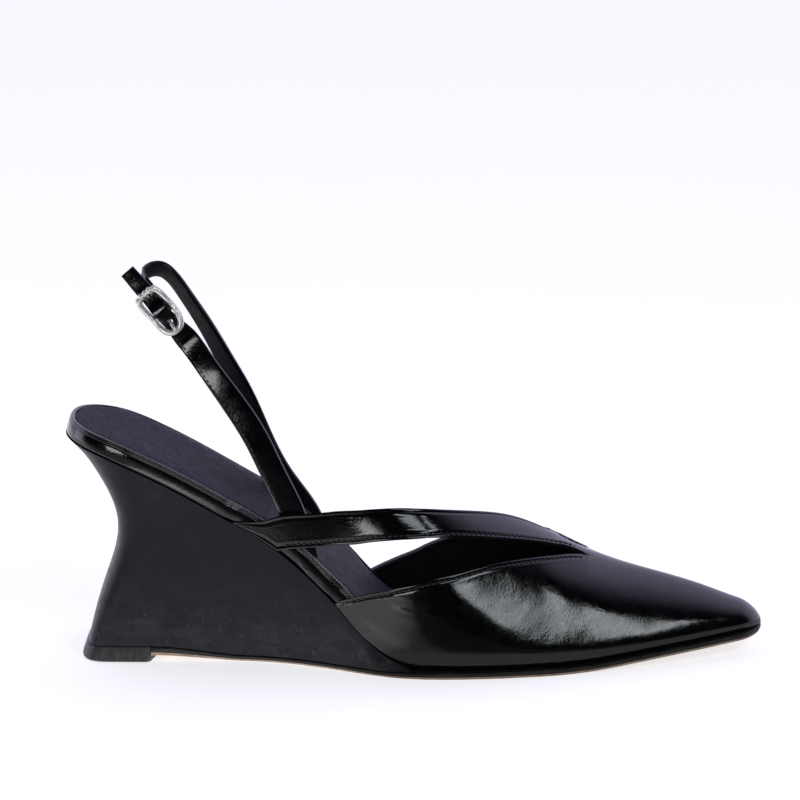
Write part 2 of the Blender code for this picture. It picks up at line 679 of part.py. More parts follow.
def make_sling_strap(material):
    """The medial strap: up from the footbed, round the back of the heel, and folded on the buckle's bar."""
    thin = FOLD_THICKNESS
    bar = -BUCKLE_DIP - BAR_DROP
    ring = BAR_WIRE / 2 + 1.3 * GAP + thin / 2
    points = [route_point(row) for row in SLING_ROUTE]
    tilts, turns = [row[3] for row in SLING_ROUTE], [row[4] for row in SLING_ROUTE]
    widths = [STRAP_WIDTH * share for share in (1.24, 1.14, 1.03, 0.98, 0.97, 0.97, 0.97, 0.96, 0.94, 0.90)]
    thicks = [STRAP_THICKNESS * share for share in (1, 1, 1, 1, 1, 1, 1, 0.95, 0.85, 0.7)]
    fold = [(13.4 * MM, -9.0 * MM, 1.2 * MM, 80, 10), (12.2 * MM, -4.8 * MM, 0.0, 64, 0),
            (9.2 * MM, -1.8 * MM, 0.0, 50, 0), (6.2 * MM, -0.5 * MM, 0.0, 43, 0),
            (3.0 * MM, 0.0, 0.0, BUCKLE_LEAN, 0), (0.0, 0.0, 0.0, BUCKLE_LEAN, 0)]
    fold = [(u, bar - ring + w, v, tilt, turn) for u, w, v, tilt, turn in fold]
    fold += [(-ring * math.sin(math.radians(a)), bar - ring * math.cos(math.radians(a)), 0.0, BUCKLE_LEAN, 0)
             for a in (45, 90, 135)]
    fold += [(u, bar + ring, 0.0, BUCKLE_LEAN, 0) for u in (0.0, 1.0 * MM, 2.0 * MM)]
    for u, w, v, tilt, turn in fold:
        points.append(at_buckle(u, w, v))
        tilts.append(tilt)
        turns.append(turn)
        widths.append(STRAP_WIDTH * 0.72)
        thicks.append(thin)
    path = smooth_path(points, tilts, turns, widths, thicks, 76)
    piece = loft("sling_strap", material, ribbon_rings(path), ladder=False)
    seat_on_footbed(piece)
    slot_width = PRONG_WIRE + 2.4 * GAP
    cut_with(piece, block("prong_slot", (-2.9 * MM, 2.5 * MM), slot_width, (bar - 2.9 * MM, bar + 3.0 * MM)))
    return piece


def block(name, span, width, heights):
    """A square guide solid in the buckle's own directions."""
    builder = bmesh.new()
    corners = [[builder.verts.new(at_buckle(u, w, v)) for u, v in (
        (span[0], -width / 2), (span[1], -width / 2), (span[1], width / 2), (span[0], width / 2))] for w in heights]
    low, high = corners
    builder.faces.new(low)
    builder.faces.new(high)
    for i in range(4):
        builder.faces.new((low[i - 1], low[i], high[i], high[i - 1]))
    return add_guide(name, builder)


def wire_rings(points, radii, up, sides=10, closed=False):
    """Round rings along a wire."""
    rings = []
    for k, point in enumerate(points):
        ahead = points[(k + 1) % len(points)] if closed else points[min(k + 1, len(points) - 1)]
        behind = points[k - 1] if closed else points[max(k - 1, 0)]
        along = (ahead - behind).normalized()
        first = (up - along * up.dot(along)).normalized()
        second = along.cross(first)
        rings.append([
            point + (first * math.cos(math.tau * j / sides) + second * math.sin(math.tau * j / sides)) * radii[k]
            for j in range(sides)])
    return rings


def make_buckle_frame(material):
    """A centre-bar buckle: a rounded frame, dipped at its middle, with a beaded upper end."""
    centre, axis, width, outward = buckle_frame_axes()
    half_length, half_width = BUCKLE_LENGTH / 2, BUCKLE_WIDTH / 2
    points, radii = [], []
    count = 44
    for k in range(count):
        angle = math.tau * k / count
        side, up = squircle(angle, 2.6 if math.cos(angle) < 0 else 5.0)
        u, v = half_length * side, half_width * up
        dip = -BUCKLE_DIP * max(1.0 - (u / half_length) ** 2, 0.0) ** 3
        points.append(at_buckle(u, dip, v))
        bead = BUCKLE_BEAD * math.cos(v / half_width * math.pi * 2.5) ** 2 if u > 0.93 * half_length else 0.0
        radii.append(BUCKLE_WIRE / 2 * (0.85 + 0.15 * abs(side) + bead))
    rings = wire_rings(points, radii, outward, closed=True)
    builder = bmesh.new()
    rows = [[builder.verts.new(point) for point in ring] for ring in rings]
    for k, row in enumerate(rows):
        last = rows[k - 1]
        for j in range(len(row)):
            builder.faces.new((last[j - 1], last[j], row[j], row[j - 1]))
    frame = add_object("buckle_frame", material, builder)
    low = -BUCKLE_DIP - BAR_DROP
    leg = half_width - 0.15 * MM
    staple = [(-leg, -BUCKLE_DIP), (-leg, 0.6 * (low - BUCKLE_DIP))]
    staple += [(-leg + 0.2 * MM, low + 0.3 * MM), (-leg + 0.9 * MM, low)]
    staple += [(-v, w) for v, w in staple[::-1]]
    rings = wire_rings([at_buckle(0.0, w, v) for v, w in staple], [BAR_WIRE / 2] * len(staple), axis)
    bar = loft("centre_bar", material, rings, ladder=False)
    bar.hide_render = True
    bar.display_type = "WIRE"
    join = frame.modifiers.new("bar", "BOOLEAN")
    join.operation = "UNION"
    join.object = bar
    return frame


def make_buckle_prong(material):
    """The prong: hooked round the centre bar, out through the strap's hole, its tip on the lower end."""
    centre, axis, width, outward = buckle_frame_axes()
    bar = -BUCKLE_DIP - BAR_DROP
    hook = BAR_WIRE / 2 + GAP + PRONG_WIRE / 2
    route = [(-hook * math.cos(math.radians(a)), bar + hook * math.sin(math.radians(a)))
             for a in (-150, -110, -70, -20, 20)]
    end = BUCKLE_LENGTH / 2
    tip = BUCKLE_WIRE / 2 + GAP + PRONG_WIRE / 2
    route += [(-0.36 * end, bar + 0.4 * MM), (-0.46 * end, -2.0 * MM), (-0.56 * end, -0.7 * MM)]
    route += [(-0.67 * end, 0.55 * MM), (-0.82 * end, tip * 0.86), (-1.04 * end, tip)]
    points = [at_buckle(u, w) for u, w in route]
    even = [1.0] * len(points)
    smooth = [station[0] for station in smooth_path(points, even, even, even, even, 18)]
    radii = [PRONG_WIRE / 2] * len(smooth)
    radii[-1] *= 0.75
    return loft("buckle_prong", material, wire_rings(smooth, radii, width, sides=8), ladder=False)


def main():
    for old in list(bpy.data.objects):
        bpy.data.objects.remove(old, do_unlink=True)
    gloss = leather("polished_leather", (0.012, 0.012, 0.016), 0.18)
    satin = leather("satin_leather", (0.014, 0.015, 0.026), 0.42)
    lining = leather("sock_leather", (0.045, 0.047, 0.060), 0.70)
    sole = leather("sole_leather", (0.020, 0.018, 0.018), 0.50)
    plastic = leather("lift_plastic", (0.018, 0.018, 0.020), 0.45)
    silver = leather("silver", (0.86, 0.84, 0.82), 0.12, metallic=1.0)
    make_heel_lift(plastic)
    make_outsole(sole)
    make_wedge(satin)
    make_footbed(gloss)
    make_sock(lining)
    make_upper(gloss)
    make_billet_strap(gloss)
    make_sling_strap(lining)
    make_buckle_frame(silver)
    make_buckle_prong(silver)


main()
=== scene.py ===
"""The dressed wedge pump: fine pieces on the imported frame, their materials, and the studio."""
import math

import bmesh
import bpy
import numpy as np
from mathutils import Matrix, Quaternion, Vector


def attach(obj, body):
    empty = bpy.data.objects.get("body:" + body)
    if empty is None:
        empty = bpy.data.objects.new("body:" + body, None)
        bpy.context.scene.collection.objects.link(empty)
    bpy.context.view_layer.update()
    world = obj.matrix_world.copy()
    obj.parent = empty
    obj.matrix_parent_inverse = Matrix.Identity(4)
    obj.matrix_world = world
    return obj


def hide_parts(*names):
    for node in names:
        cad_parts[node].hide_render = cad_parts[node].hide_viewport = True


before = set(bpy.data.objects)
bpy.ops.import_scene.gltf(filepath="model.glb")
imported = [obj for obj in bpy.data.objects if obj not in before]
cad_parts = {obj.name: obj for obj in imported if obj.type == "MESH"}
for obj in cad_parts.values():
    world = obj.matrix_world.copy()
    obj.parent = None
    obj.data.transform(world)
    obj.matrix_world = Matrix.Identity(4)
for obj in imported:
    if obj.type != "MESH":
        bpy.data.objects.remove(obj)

MM = 0.001
GAP = 0.3 * MM

# Driving sizes of the shoe
LENGTH = 244.6 * MM
BALL_WIDTH = 78.0 * MM
HEEL_RISE = 76.6 * MM
INSTEP_HEIGHT = 56.3 * MM
TOE_SPRING = 5.0 * MM
SHANK_RISE = 2.0 * MM
SLING_HEIGHT = 137.0 * MM

# Walls and thicknesses
UPPER_WALL = 1.6 * MM
SOLE_THICKNESS = 2.7 * MM
STRIP_THICKNESS = 1.9 * MM
SOLE_BEVEL = 0.8 * MM
LIFT_THICKNESS = 5.1 * MM
LIFT_FLARE = 1.8 * MM
BREAST_BOW = 3.0 * MM
FOOTBED_THICKNESS = 6.2 * MM
SOCK_RECESS = 0.85
RIM_WIDTH = 1.4 * MM
WAIST_INSET = 14.6 * MM
FEATHER_TUCK = 2.2 * MM
TUCK_HEIGHT = 7.0 * MM
SIDE_BULGE = 0.6 * MM

# Straps and buckle
STRAP_WIDTH = 8.8 * MM
STRAP_THICKNESS = 1.9 * MM
BUCKLE_LENGTH = 16.4 * MM
BUCKLE_WIDTH = 8.6 * MM
BUCKLE_WIRE = 2.0 * MM
BUCKLE_BEAD = 0.22
BUCKLE_DIP = 1.2 * MM
BAR_DROP = 1.9 * MM
BAR_WIRE = 1.4 * MM
PRONG_WIRE = 1.1 * MM
HOLE_DIAMETER = 1.9 * MM
HOLE_PITCH = 6.5 * MM
HOLE_FLOOR = 0.35 * MM
HOLE_CLEARANCE = 3.6 * MM
PEG_LENGTH = 4.0 * MM
BILLET_TIP_THICKNESS = 1.05 * MM
FOLD_THICKNESS = 0.8 * MM

# Round ends of the plan, and how square they are
HEEL_CAP = 26.0 * MM
TOE_CAP = 8.0 * MM
LIFT_CAP = 11.0 * MM
HEEL_SQUARE = 2.25
LIFT_SQUARE = 4.6

# Places along the shoe, as shares of its length
FOOTBED_SHORT = 3.8 * MM
LIFT_BACK = 0.026
LIFT_FRONT = 0.1195
STRIP_END, STRIP_BLEND = 0.44, 0.10
ARCH_END, ARCH_BLEND = 0.40, 0.15
WEDGE_FRONT_TOP, WEDGE_FRONT_FOOT = 0.487, 0.492
BAND_END_GIRTH = 0.53

# Stitches
STITCH_PITCH = 2.0 * MM
STITCH_LENGTH = 1.6 * MM
STITCH_EDGE = 1.4 * MM
UPPER_THREAD = 0.29 * MM
STRAP_THREAD = 0.27 * MM

HALF_BALL = BALL_WIDTH / 2


def natural_cubic(xs, ys):
    """A smooth curve through points, with no bend at its two ends."""
    xs, ys = np.array(xs, float), np.array(ys, float)
    count, step = len(xs), np.diff(xs)
    matrix, right = np.zeros((count, count)), np.zeros(count)
    matrix[0, 0] = matrix[-1, -1] = 1.0
    for i in range(1, count - 1):
        matrix[i, i - 1:i + 2] = step[i - 1], 2 * (step[i - 1] + step[i]), step[i]
        right[i] = 6 * ((ys[i + 1] - ys[i]) / step[i] - (ys[i] - ys[i - 1]) / step[i - 1])
    bend = np.linalg.solve(matrix, right)

    def at(x):
        i = int(np.clip(np.searchsorted(xs, x) - 1, 0, count - 2))
        t = x - xs[i]
        slope = (ys[i + 1] - ys[i]) / step[i] - step[i] * (2 * bend[i] + bend[i + 1]) / 6
        twist = (bend[i + 1] - bend[i]) / (6 * step[i])
        return float(ys[i] + slope * t + bend[i] / 2 * t ** 2 + twist * t ** 3)

    return at


def level_cubic(xs, ys):
    """A curve through points that never passes beyond them, for lines with level stretches."""
    xs, ys = np.array(xs, float), np.array(ys, float)
    step = np.diff(xs)
    slope = np.diff(ys) / step
    lean = np.zeros(len(xs))
    lean[0], lean[-1] = slope[0], slope[-1]
    for i in range(1, len(xs) - 1):
        if slope[i - 1] * slope[i] > 0:
            before, after = 2 * step[i] + step[i - 1], step[i] + 2 * step[i - 1]
            lean[i] = (before + after) / (before / slope[i - 1] + after / slope[i])

    def at(x):
        x = min(max(x, xs[0]), xs[-1])
        i = int(np.clip(np.searchsorted(xs, x) - 1, 0, len(xs) - 2))
        t = (x - xs[i]) / step[i]
        rise = (1 + 2 * t) * (1 - t) ** 2 * ys[i] + t ** 2 * (3 - 2 * t) * ys[i + 1]
        return float(rise + step[i] * t * (1 - t) * ((1 - t) * lean[i] - t * lean[i + 1]))

    return at


class Table:
    """Rows of numbers under named columns, read as curves of the first column."""

    def __init__(self, curve, columns, *rows):
        self.first = [row[0] for row in rows]
        self.curves = {
            name: curve(self.first, [row[i] for row in rows])
            for i, name in enumerate(columns) if i > 0
        }

    def __call__(self, name, along):
        return self.curves[name](along)


# Half widths of the lasting edge, where footbed, wedge and upper meet, as shares of half the ball width
PLAN = Table(
    natural_cubic, ("along", "lateral", "medial"),
    (0.00, 0.635, 0.625), (0.12, 0.645, 0.620), (0.22, 0.650, 0.605), (0.32, 0.665, 0.615),
    (0.40, 0.725, 0.680), (0.45, 0.835, 0.770), (0.50, 0.940, 0.865), (0.54, 0.975, 0.922),
    (0.59, 0.965, 0.965), (0.64, 0.930, 0.977), (0.70, 0.862, 0.932), (0.79, 0.722, 0.747),
    (0.88, 0.537, 0.517), (0.94, 0.377, 0.337), (1.00, 0.200, 0.170),
)

# Half widths of the sole under the wedge and the forefoot, as shares of half the ball width
SOLE_PLAN = Table(
    natural_cubic, ("along", "lateral", "medial"),
    (0.02, 0.500, 0.500), (0.12, 0.512, 0.500), (0.20, 0.500, 0.475), (0.26, 0.515, 0.470),
    (0.335, 0.620, 0.520), (0.405, 0.800, 0.650), (0.47, 0.955, 0.830), (0.53, 1.000, 0.945),
    (0.59, 0.985, 0.990), (0.64, 0.950, 1.000), (0.70, 0.885, 0.955), (0.79, 0.745, 0.770),
    (0.88, 0.560, 0.540), (0.94, 0.400, 0.360), (1.00, 0.225, 0.195),
)

# Height of the lasting edge over the sole, as a share of the heel rise
SEAT_LINE = Table(
    level_cubic, ("along", "rise"),
    (0.000, 1.000), (0.063, 0.940), (0.120, 0.860), (0.225, 0.676), (0.303, 0.519),
    (0.381, 0.286), (0.426, 0.127), (0.465, 0.039), (0.505, 0.000), (1.000, 0.000),
)

# How far the sole stands off the floor: the forefoot as a share of the toe spring, and the strip in front of
# the heel lift as a share of the shank rise
SOLE_LINE = Table(
    level_cubic, ("along", "toe", "shank"),
    (0.000, 0.000, 1.000), (0.120, 0.000, 1.000), (0.260, 0.000, 0.000), (0.690, 0.000, 0.000),
    (0.740, 0.080, 0.000), (0.790, 0.310, 0.000), (0.845, 0.600, 0.000), (0.880, 0.750, 0.000),
    (0.940, 0.970, 0.000), (1.000, 1.180, 0.000),
)

# The footbed's thickness, as a share of its thickness at the heel
FOOTBED_TAPER = Table(
    level_cubic, ("along", "share"),
    (0.00, 1.00), (0.40, 1.00), (0.56, 0.48), (1.00, 0.36),
)

# Where the upper covers the footbed's edge, from 0 for bare to 1 for covered
COVER = Table(
    level_cubic, ("along", "lateral", "medial"),
    (0.000, 0.0, 0.0), (0.224, 0.0, 0.0), (0.236, 1.0, 0.0), (0.332, 1.0, 0.0), (0.344, 0.0, 0.0),
    (0.366, 0.0, 0.0), (0.378, 1.0, 0.0), (0.386, 1.0, 0.0), (0.396, 1.0, 1.0), (1.000, 1.0, 1.0),
)

# The last over the lasting edge: crest height over the floor as a share of the instep height, its shift to
# the medial side as a share of half the ball width, and how square the section is
LAST = Table(
    natural_cubic, ("along", "crest", "shift", "square"),
    (0.20, 2.300, 0.000, 3.10), (0.30, 1.905, 0.000, 3.10), (0.39, 1.515, 0.015, 3.10),
    (0.44, 1.345, 0.025, 3.05), (0.47, 1.258, 0.035, 2.98), (0.53, 1.110, 0.050, 2.55),
    (0.62, 0.900, 0.060, 2.00), (0.685, 0.748, 0.060, 1.83), (0.736, 0.634, 0.050, 1.76),
    (0.796, 0.535, 0.040, 1.66), (0.863, 0.454, 0.030, 1.60), (0.92, 0.376, 0.020, 1.66),
    (0.963, 0.306, 0.012, 1.82), (1.00, 0.255, 0.008, 2.05),
)

# Edges of the upper, as shares of the girth from the lateral (0) over the crest (0.5) to the medial (1)
VAMP_EDGE = Table(
    natural_cubic, ("along", "girth"),
    (0.385, 0.000), (0.409, 0.0472), (0.4416, 0.0933), (0.4767, 0.129), (0.5116, 0.1577), (0.5465, 0.1845),
    (0.6173, 0.2587), (0.6752, 0.334), (0.7048, 0.3808), (0.735, 0.430), (0.752, 0.448),
)
BAND_LOWER = Table(
    natural_cubic, ("along", "girth"),
    (0.304, 0.000), (0.3403, 0.045), (0.3906, 0.1114), (0.4347, 0.166), (0.4767, 0.2049), (0.5326, 0.2512),
    (0.618, 0.3334), (0.6616, 0.3831), (0.7059, 0.4362), (0.735, 0.4555), (0.752, 0.448),
)
BAND_UPPER = Table(
    natural_cubic, ("along", "girth"),
    (0.241, 0.000), (0.262, 0.016), (0.2816, 0.0331), (0.3013, 0.0574), (0.3407, 0.1045), (0.4024, 0.182),
    (0.4766, 0.2615), (0.5327, 0.319), (0.590, 0.3946), (0.6414, 0.4694), (0.6856, 0.5091), (0.707, 0.523),
)
FAR_EDGE = Table(
    natural_cubic, ("along", "girth"),
    (0.405, 1.000), (0.429, 0.968), (0.447, 0.943), (0.475, 0.914), (0.523, 0.873), (0.580, 0.820),
    (0.631, 0.750), (0.661, 0.692), (0.685, 0.620), (0.707, 0.523),
)
LEAF_TIP = 0.752
THROAT_TIP = 0.707

# The wedge's back profile: how far it draws in, as a share of the waist inset
WAIST = Table(
    natural_cubic, ("height", "inset"),
    (0.00, 0.000), (0.10, 0.165), (0.25, 0.460), (0.40, 0.790), (0.53, 0.985), (0.63, 1.000),
    (0.74, 0.850), (0.85, 0.580), (0.94, 0.285), (1.00, 0.000),
)

# Strap routes: share of the length, share of half the ball width, share of the sling height, and in
# degrees how far the strap's width leans back from the toe and how far it turns to the lateral side
BILLET_ROUTE = (
    (0.3420, -0.578, 0.275, 18, 0), (0.3240, -0.568, 0.404, 20, 0), (0.3004, -0.542, 0.4955, 23, 0),
    (0.2747, -0.503, 0.590, 27, 0), (0.2446, -0.451, 0.673, 32, 0), (0.2035, -0.362, 0.771, 38, 0),
)
SLING_ROUTE = (
    (0.3568, 0.584, 0.215, 18, 0), (0.3373, 0.584, 0.303, 20, 0), (0.2993, 0.564, 0.414, 22, 8),
    (0.2662, 0.539, 0.548, 26, 20), (0.2460, 0.500, 0.641, 29, 30), (0.2240, 0.462, 0.722, 33, 40),
    (0.1962, 0.411, 0.819, 37, 48), (0.1661, 0.346, 0.911, 43, 52), (0.1481, 0.295, 0.957, 52, 50),
    (0.1320, 0.215, 0.978, 66, 35),
)
BUCKLE_CENTRE = (0.1429, -0.3205, 0.901)
BUCKLE_AXIS = (-0.655, 0.075, 0.752)
BUCKLE_LEAN = 41.0


def x_at(along):
    return (along - 0.5) * LENGTH


def toe_lift(along):
    return TOE_SPRING * SOLE_LINE("toe", along)


def sole_thickness(along):
    """Thick under the forefoot, thin along the wedge, and thicker again at its rear end."""
    share = min(max((along - STRIP_END) / STRIP_BLEND, 0.0), 1.0)
    ahead = (SOLE_THICKNESS - GAP - STRIP_THICKNESS) * share * share * (3 - 2 * share)
    rear = (LIFT_THICKNESS - SHANK_RISE - STRIP_THICKNESS) * SOLE_LINE("shank", along)
    return STRIP_THICKNESS + ahead + rear


def sole_bottom(along):
    return toe_lift(along) + SHANK_RISE * SOLE_LINE("shank", along)


def seat_point(along, depth=0.0):
    """A point of the lasting edge's side view, raised square to it by depth."""
    def height(share):
        return SOLE_THICKNESS + toe_lift(share) + HEEL_RISE * SEAT_LINE("rise", share)

    step = 0.004
    low, high = max(along - step, 0.0), min(along + step, 1.0)
    slope = (height(high) - height(low)) / ((high - low) * LENGTH)
    reach = math.hypot(1.0, slope)
    return x_at(along) - slope / reach * depth, height(along) + depth / reach


def squircle(angle, square):
    """The unit superellipse at an angle from the side axis, as (side, up)."""
    side, up = math.cos(angle), math.sin(angle)
    reach = (abs(side) ** square + abs(up) ** square) ** (-1.0 / square)
    return side * reach, up * reach


def plan_stations(start, end, count, heel_square=None, toe=True, heel_cap=HEEL_CAP, caps=7):
    """Stations along the plan as (along, width factor), closing round at the heel and the toe."""
    stations = []
    heel_share, toe_share = heel_cap / LENGTH, TOE_CAP / LENGTH
    first = start + heel_share if heel_square else start
    last = end - toe_share if toe else end
    if heel_square:
        for k in range(1, caps):
            back, side = squircle(math.radians(90 * k / caps), heel_square)
            stations.append((first - heel_share * back, side))
    stations += [(first + (last - first) * k / count, 1.0) for k in range(count + 1)]
    if toe:
        for k in range(1, caps):
            side, ahead = squircle(math.radians(90 * k / caps), 2.0)
            stations.append((last + toe_share * ahead, side))
    return stations


def plan_loop(plan, stations, start, end):
    """A closed outline in the plan: back centre, lateral side, front centre, medial side."""
    lateral = [(s, -HALF_BALL * plan("lateral", s) * close) for s, close in stations]
    medial = [(s, HALF_BALL * plan("medial", s) * close) for s, close in stations]
    return [(start, 0.0)] + lateral + [(end, 0.0)] + medial[::-1]


def inset_loop(loop, distance):
    """The outline moved square to itself by a distance, or by a function of the station."""
    points = [Vector((x_at(s), y)) for s, y in loop]
    moved = []
    for i, point in enumerate(points):
        along = points[(i + 1) % len(points)] - points[i - 1]
        inward = Vector((-along.y, along.x)).normalized()
        step = distance(*loop[i]) if callable(distance) else distance
        place = point + inward * step
        moved.append((place.x / LENGTH + 0.5, place.y))
    return moved


def forepart(s):
    """From 0 behind the arch to 1 at the ball."""
    return min(max((s - ARCH_END) / ARCH_BLEND, 0.0), 1.0)


def footbed_inset(s, y):
    """How far the footbed draws in where the upper's wall covers its edge: the band, then the vamp."""
    share = COVER("lateral" if y <= 0 else "medial", s)
    tucked = (FEATHER_TUCK - SIDE_BULGE) * forepart(s)
    return (UPPER_WALL * 1.25 + GAP) * share + tucked


def seat_ring(loop, depth):
    """A ring of the footbed's outline, raised square to the lasting edge by a depth."""
    ring = []
    for s, y in loop:
        x, z = seat_point(min(max(s, 0.0), 1.0), depth(s))
        ring.append((x, y, z))
    return ring


def footbed_depth(s, share=1.0):
    return FOOTBED_THICKNESS * FOOTBED_TAPER("share", s) * share


def toe_close(s):
    """How far the last is still open, from 1 back to 0 at its very tip."""
    left = min((1.0 - s) * LENGTH / TOE_CAP, 1.0)
    return math.sqrt(max(1.0 - (1.0 - left) ** 2, 0.0))


def last_point(s, girth):
    """A point of the last's surface: 0 at the lateral lasting edge, 0.5 on the crest, 1 at the medial."""
    close = toe_close(s)
    side, up = squircle(math.pi * girth, LAST("square", s))
    shift = HALF_BALL * LAST("shift", s) * close
    lateral = side > 0
    half = HALF_BALL * PLAN("lateral" if lateral else "medial", s) * close + (shift if lateral else -shift)
    x, z = seat_point(s)
    height = (INSTEP_HEIGHT * LAST("crest", s) - z) * close * up
    tuck = FEATHER_TUCK * max(1.0 - height / TUCK_HEIGHT, 0.0) ** 2
    swell = forepart(s) * close * (SIDE_BULGE - tuck)
    return Vector((x, shift - (half + swell) * side, z + height))


def strip_bounds(s):
    """The three strips of the upper at a station: where each starts, and its two edges."""
    leaf = VAMP_EDGE("girth", min(s, LEAF_TIP))
    throat = BAND_UPPER("girth", min(s, THROAT_TIP))
    low = BAND_LOWER("girth", min(s, LEAF_TIP)) if s > BAND_LOWER.first[0] else 0.0
    far = FAR_EDGE("girth", min(s, THROAT_TIP))
    return (
        (VAMP_EDGE.first[0], 0.0, leaf),
        (BAND_UPPER.first[0], low, throat),
        (FAR_EDGE.first[0], far, 1.0),
    )


def route_point(row):
    return Vector((x_at(row[0]), row[1] * HALF_BALL, row[2] * SLING_HEIGHT))


def buckle_frame_axes():
    """The buckle's place: its centre, its axis to the tail, its width and its outward side."""
    centre = route_point(BUCKLE_CENTRE)
    axis = Vector(BUCKLE_AXIS).normalized()
    lean = math.radians(BUCKLE_LEAN)
    width = Vector((math.cos(lean), 0.0, math.sin(lean)))
    width = (width - axis * width.dot(axis)).normalized()
    outward = axis.cross(width).normalized()
    if outward.y > 0:
        outward = -outward
    return centre, axis, width, outward


def at_buckle(u, w, v=0.0):
    centre, axis, width, outward = buckle_frame_axes()
    return centre + axis * u + width * v + outward * w


def smooth_path(points, tilts, turns, widths, thicks, count):
    """Points, width directions, widths and thicknesses along a smooth curve through a strap's route."""
    lengths = [0.0]
    for a, b in zip(points, points[1:]):
        lengths.append(lengths[-1] + (b - a).length)
    curves = [natural_cubic(lengths, [p[i] for p in points]) for i in range(3)]
    curves += [level_cubic(lengths, values) for values in (tilts, turns, widths, thicks)]
    path = []
    for k in range(count + 1):
        d = lengths[-1] * k / count
        x, y, z, tilt, turn, width, thick = (curve(d) for curve in curves)
        lean, side = math.radians(tilt), math.radians(turn)
        across = Vector((math.cos(lean) * math.cos(side), -math.sin(side), math.sin(lean) * math.cos(side)))
        path.append((Vector((x, y, z)), across, width, thick))
    return path


# The billet through the buckle: share of half the buckle's length, share of its depth under the frame, and
# width as a share of the strap's
BILLET_THREADING = (
    (-1.55, 1.15, 0.92), (-1.15, 1.08, 0.84), (-0.75, 1.10, 0.70), (-0.38, 0.46, 0.67), (0.0, -0.02, 0.66),
    (0.38, 0.42, 0.67), (0.76, 1.10, 0.68), (1.15, 1.10, 0.68), (1.60, 1.14, 0.66), (2.20, 1.18, 0.62),
)

# The sling's run to the bar, in millimetres along, outward and across the buckle, then tilt and turn
SLING_FOLD = (
    (13.4, -9.0, 1.2, 80, 10), (12.2, -4.8, 0.0, 64, 0), (9.2, -1.8, 0.0, 50, 0),
    (6.2, -0.5, 0.0, 43, 0), (3.0, 0.0, 0.0, BUCKLE_LEAN, 0), (0.0, 0.0, 0.0, BUCKLE_LEAN, 0),
)


# Fine pieces, lofted on the same forms as the solids

def plain_object(name, builder):
    mesh = bpy.data.meshes.new(name)
    builder.to_mesh(mesh)
    builder.free()
    item = bpy.data.objects.new(name, mesh)
    bpy.context.scene.collection.objects.link(item)
    return item


def soften(mesh, angle):
    mesh.shade_smooth()
    mesh.set_sharp_from_angle(angle=math.radians(angle))


def new_piece(name, node, builder, materials, angle=40):
    """A finished piece on the one body; it stands for its solid where a node is named."""
    bmesh.ops.remove_doubles(builder, verts=builder.verts, dist=0.0005 * MM)
    bmesh.ops.recalc_face_normals(builder, faces=builder.faces)
    piece = plain_object(name, builder)
    soften(piece.data, angle)
    for material in materials:
        piece.data.materials.append(material)
    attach(piece, "root")
    if node:
        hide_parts(node)
    return piece


def loft_into(builder, rings, closed_along=False, caps=True, paint=None):
    """Faces through rings of as many points each; paint gives a face's material from its ring and side."""
    rows = [[builder.verts.new(point) for point in ring] for ring in rings]
    count = len(rows[0])
    pairs = list(zip(rows, rows[1:]))
    if closed_along:
        pairs.append((rows[-1], rows[0]))
    for k, (low, high) in enumerate(pairs):
        for i in range(count):
            face = builder.faces.new((low[i - 1], low[i], high[i], high[i - 1]))
            if paint:
                face.material_index = paint(k, i)
    if caps and not closed_along:
        for row in (rows[0], rows[-1]):
            builder.faces.new(row)
    return rows


def ladder(builder, row, material_index=0):
    """Rungs across a ring that is the same on both sides, such as the sole's."""
    count = len(row)
    for i in range(count // 2):
        corners = [row[i], row[i + 1], row[(count - i - 1) % count], row[(count - i) % count]]
        corners = list(dict.fromkeys(corners))
        if len(corners) > 2:
            builder.faces.new(corners).material_index = material_index


def loft_laddered(builder, rings):
    """Faces through rings, with rungs across the first and the last."""
    rows = loft_into(builder, rings, caps=False)
    for row in (rows[0], rows[-1]):
        ladder(builder, row)


def squared_front(loop, front):
    """The outline with its three front points moved to one station."""
    half = len(loop) // 2
    for i in (half - 1, half, half + 1):
        loop[i] = (front, loop[i][1])
    return loop


def bowed_front(loop, front, rungs=6):
    """The outline with its straight front replaced by a line that bows forward."""
    half = len(loop) // 2
    width = abs(loop[half - 1][1])
    across = [(front + BREAST_BOW / LENGTH * (1.0 - (y / width) ** 2), y)
              for y in (width * (2 * k / rungs - 1) for k in range(1, rungs))]
    return loop[:half] + across + loop[half + 1:]


def make_lift_piece(materials):
    """Flared to the floor, with a rounded foot and a slight chamfer at the top."""
    stations = plan_stations(
        LIFT_BACK, LIFT_FRONT, 8, heel_square=LIFT_SQUARE, toe=False, heel_cap=LIFT_CAP, caps=16)
    outline = plan_loop(SOLE_PLAN, stations, LIFT_BACK, LIFT_FRONT)
    profile = (
        (0.0, 0.9 * MM - LIFT_FLARE), (0.25 * MM, 0.35 * MM - LIFT_FLARE), (0.7 * MM, 0.05 * MM - LIFT_FLARE),
        (2.6 * MM, -0.52 * LIFT_FLARE), (LIFT_THICKNESS - 0.35 * MM, 0.0), (LIFT_THICKNESS, 0.3 * MM),
    )
    rings = []
    for height, inset in profile:
        loop = bowed_front(squared_front(inset_loop(outline, inset), LIFT_FRONT), LIFT_FRONT)
        rings.append([(x_at(s), y, height) for s, y in loop])
    builder = bmesh.new()
    loft_laddered(builder, rings)
    return new_piece("heel_top_piece", "heel_lift", builder, materials)


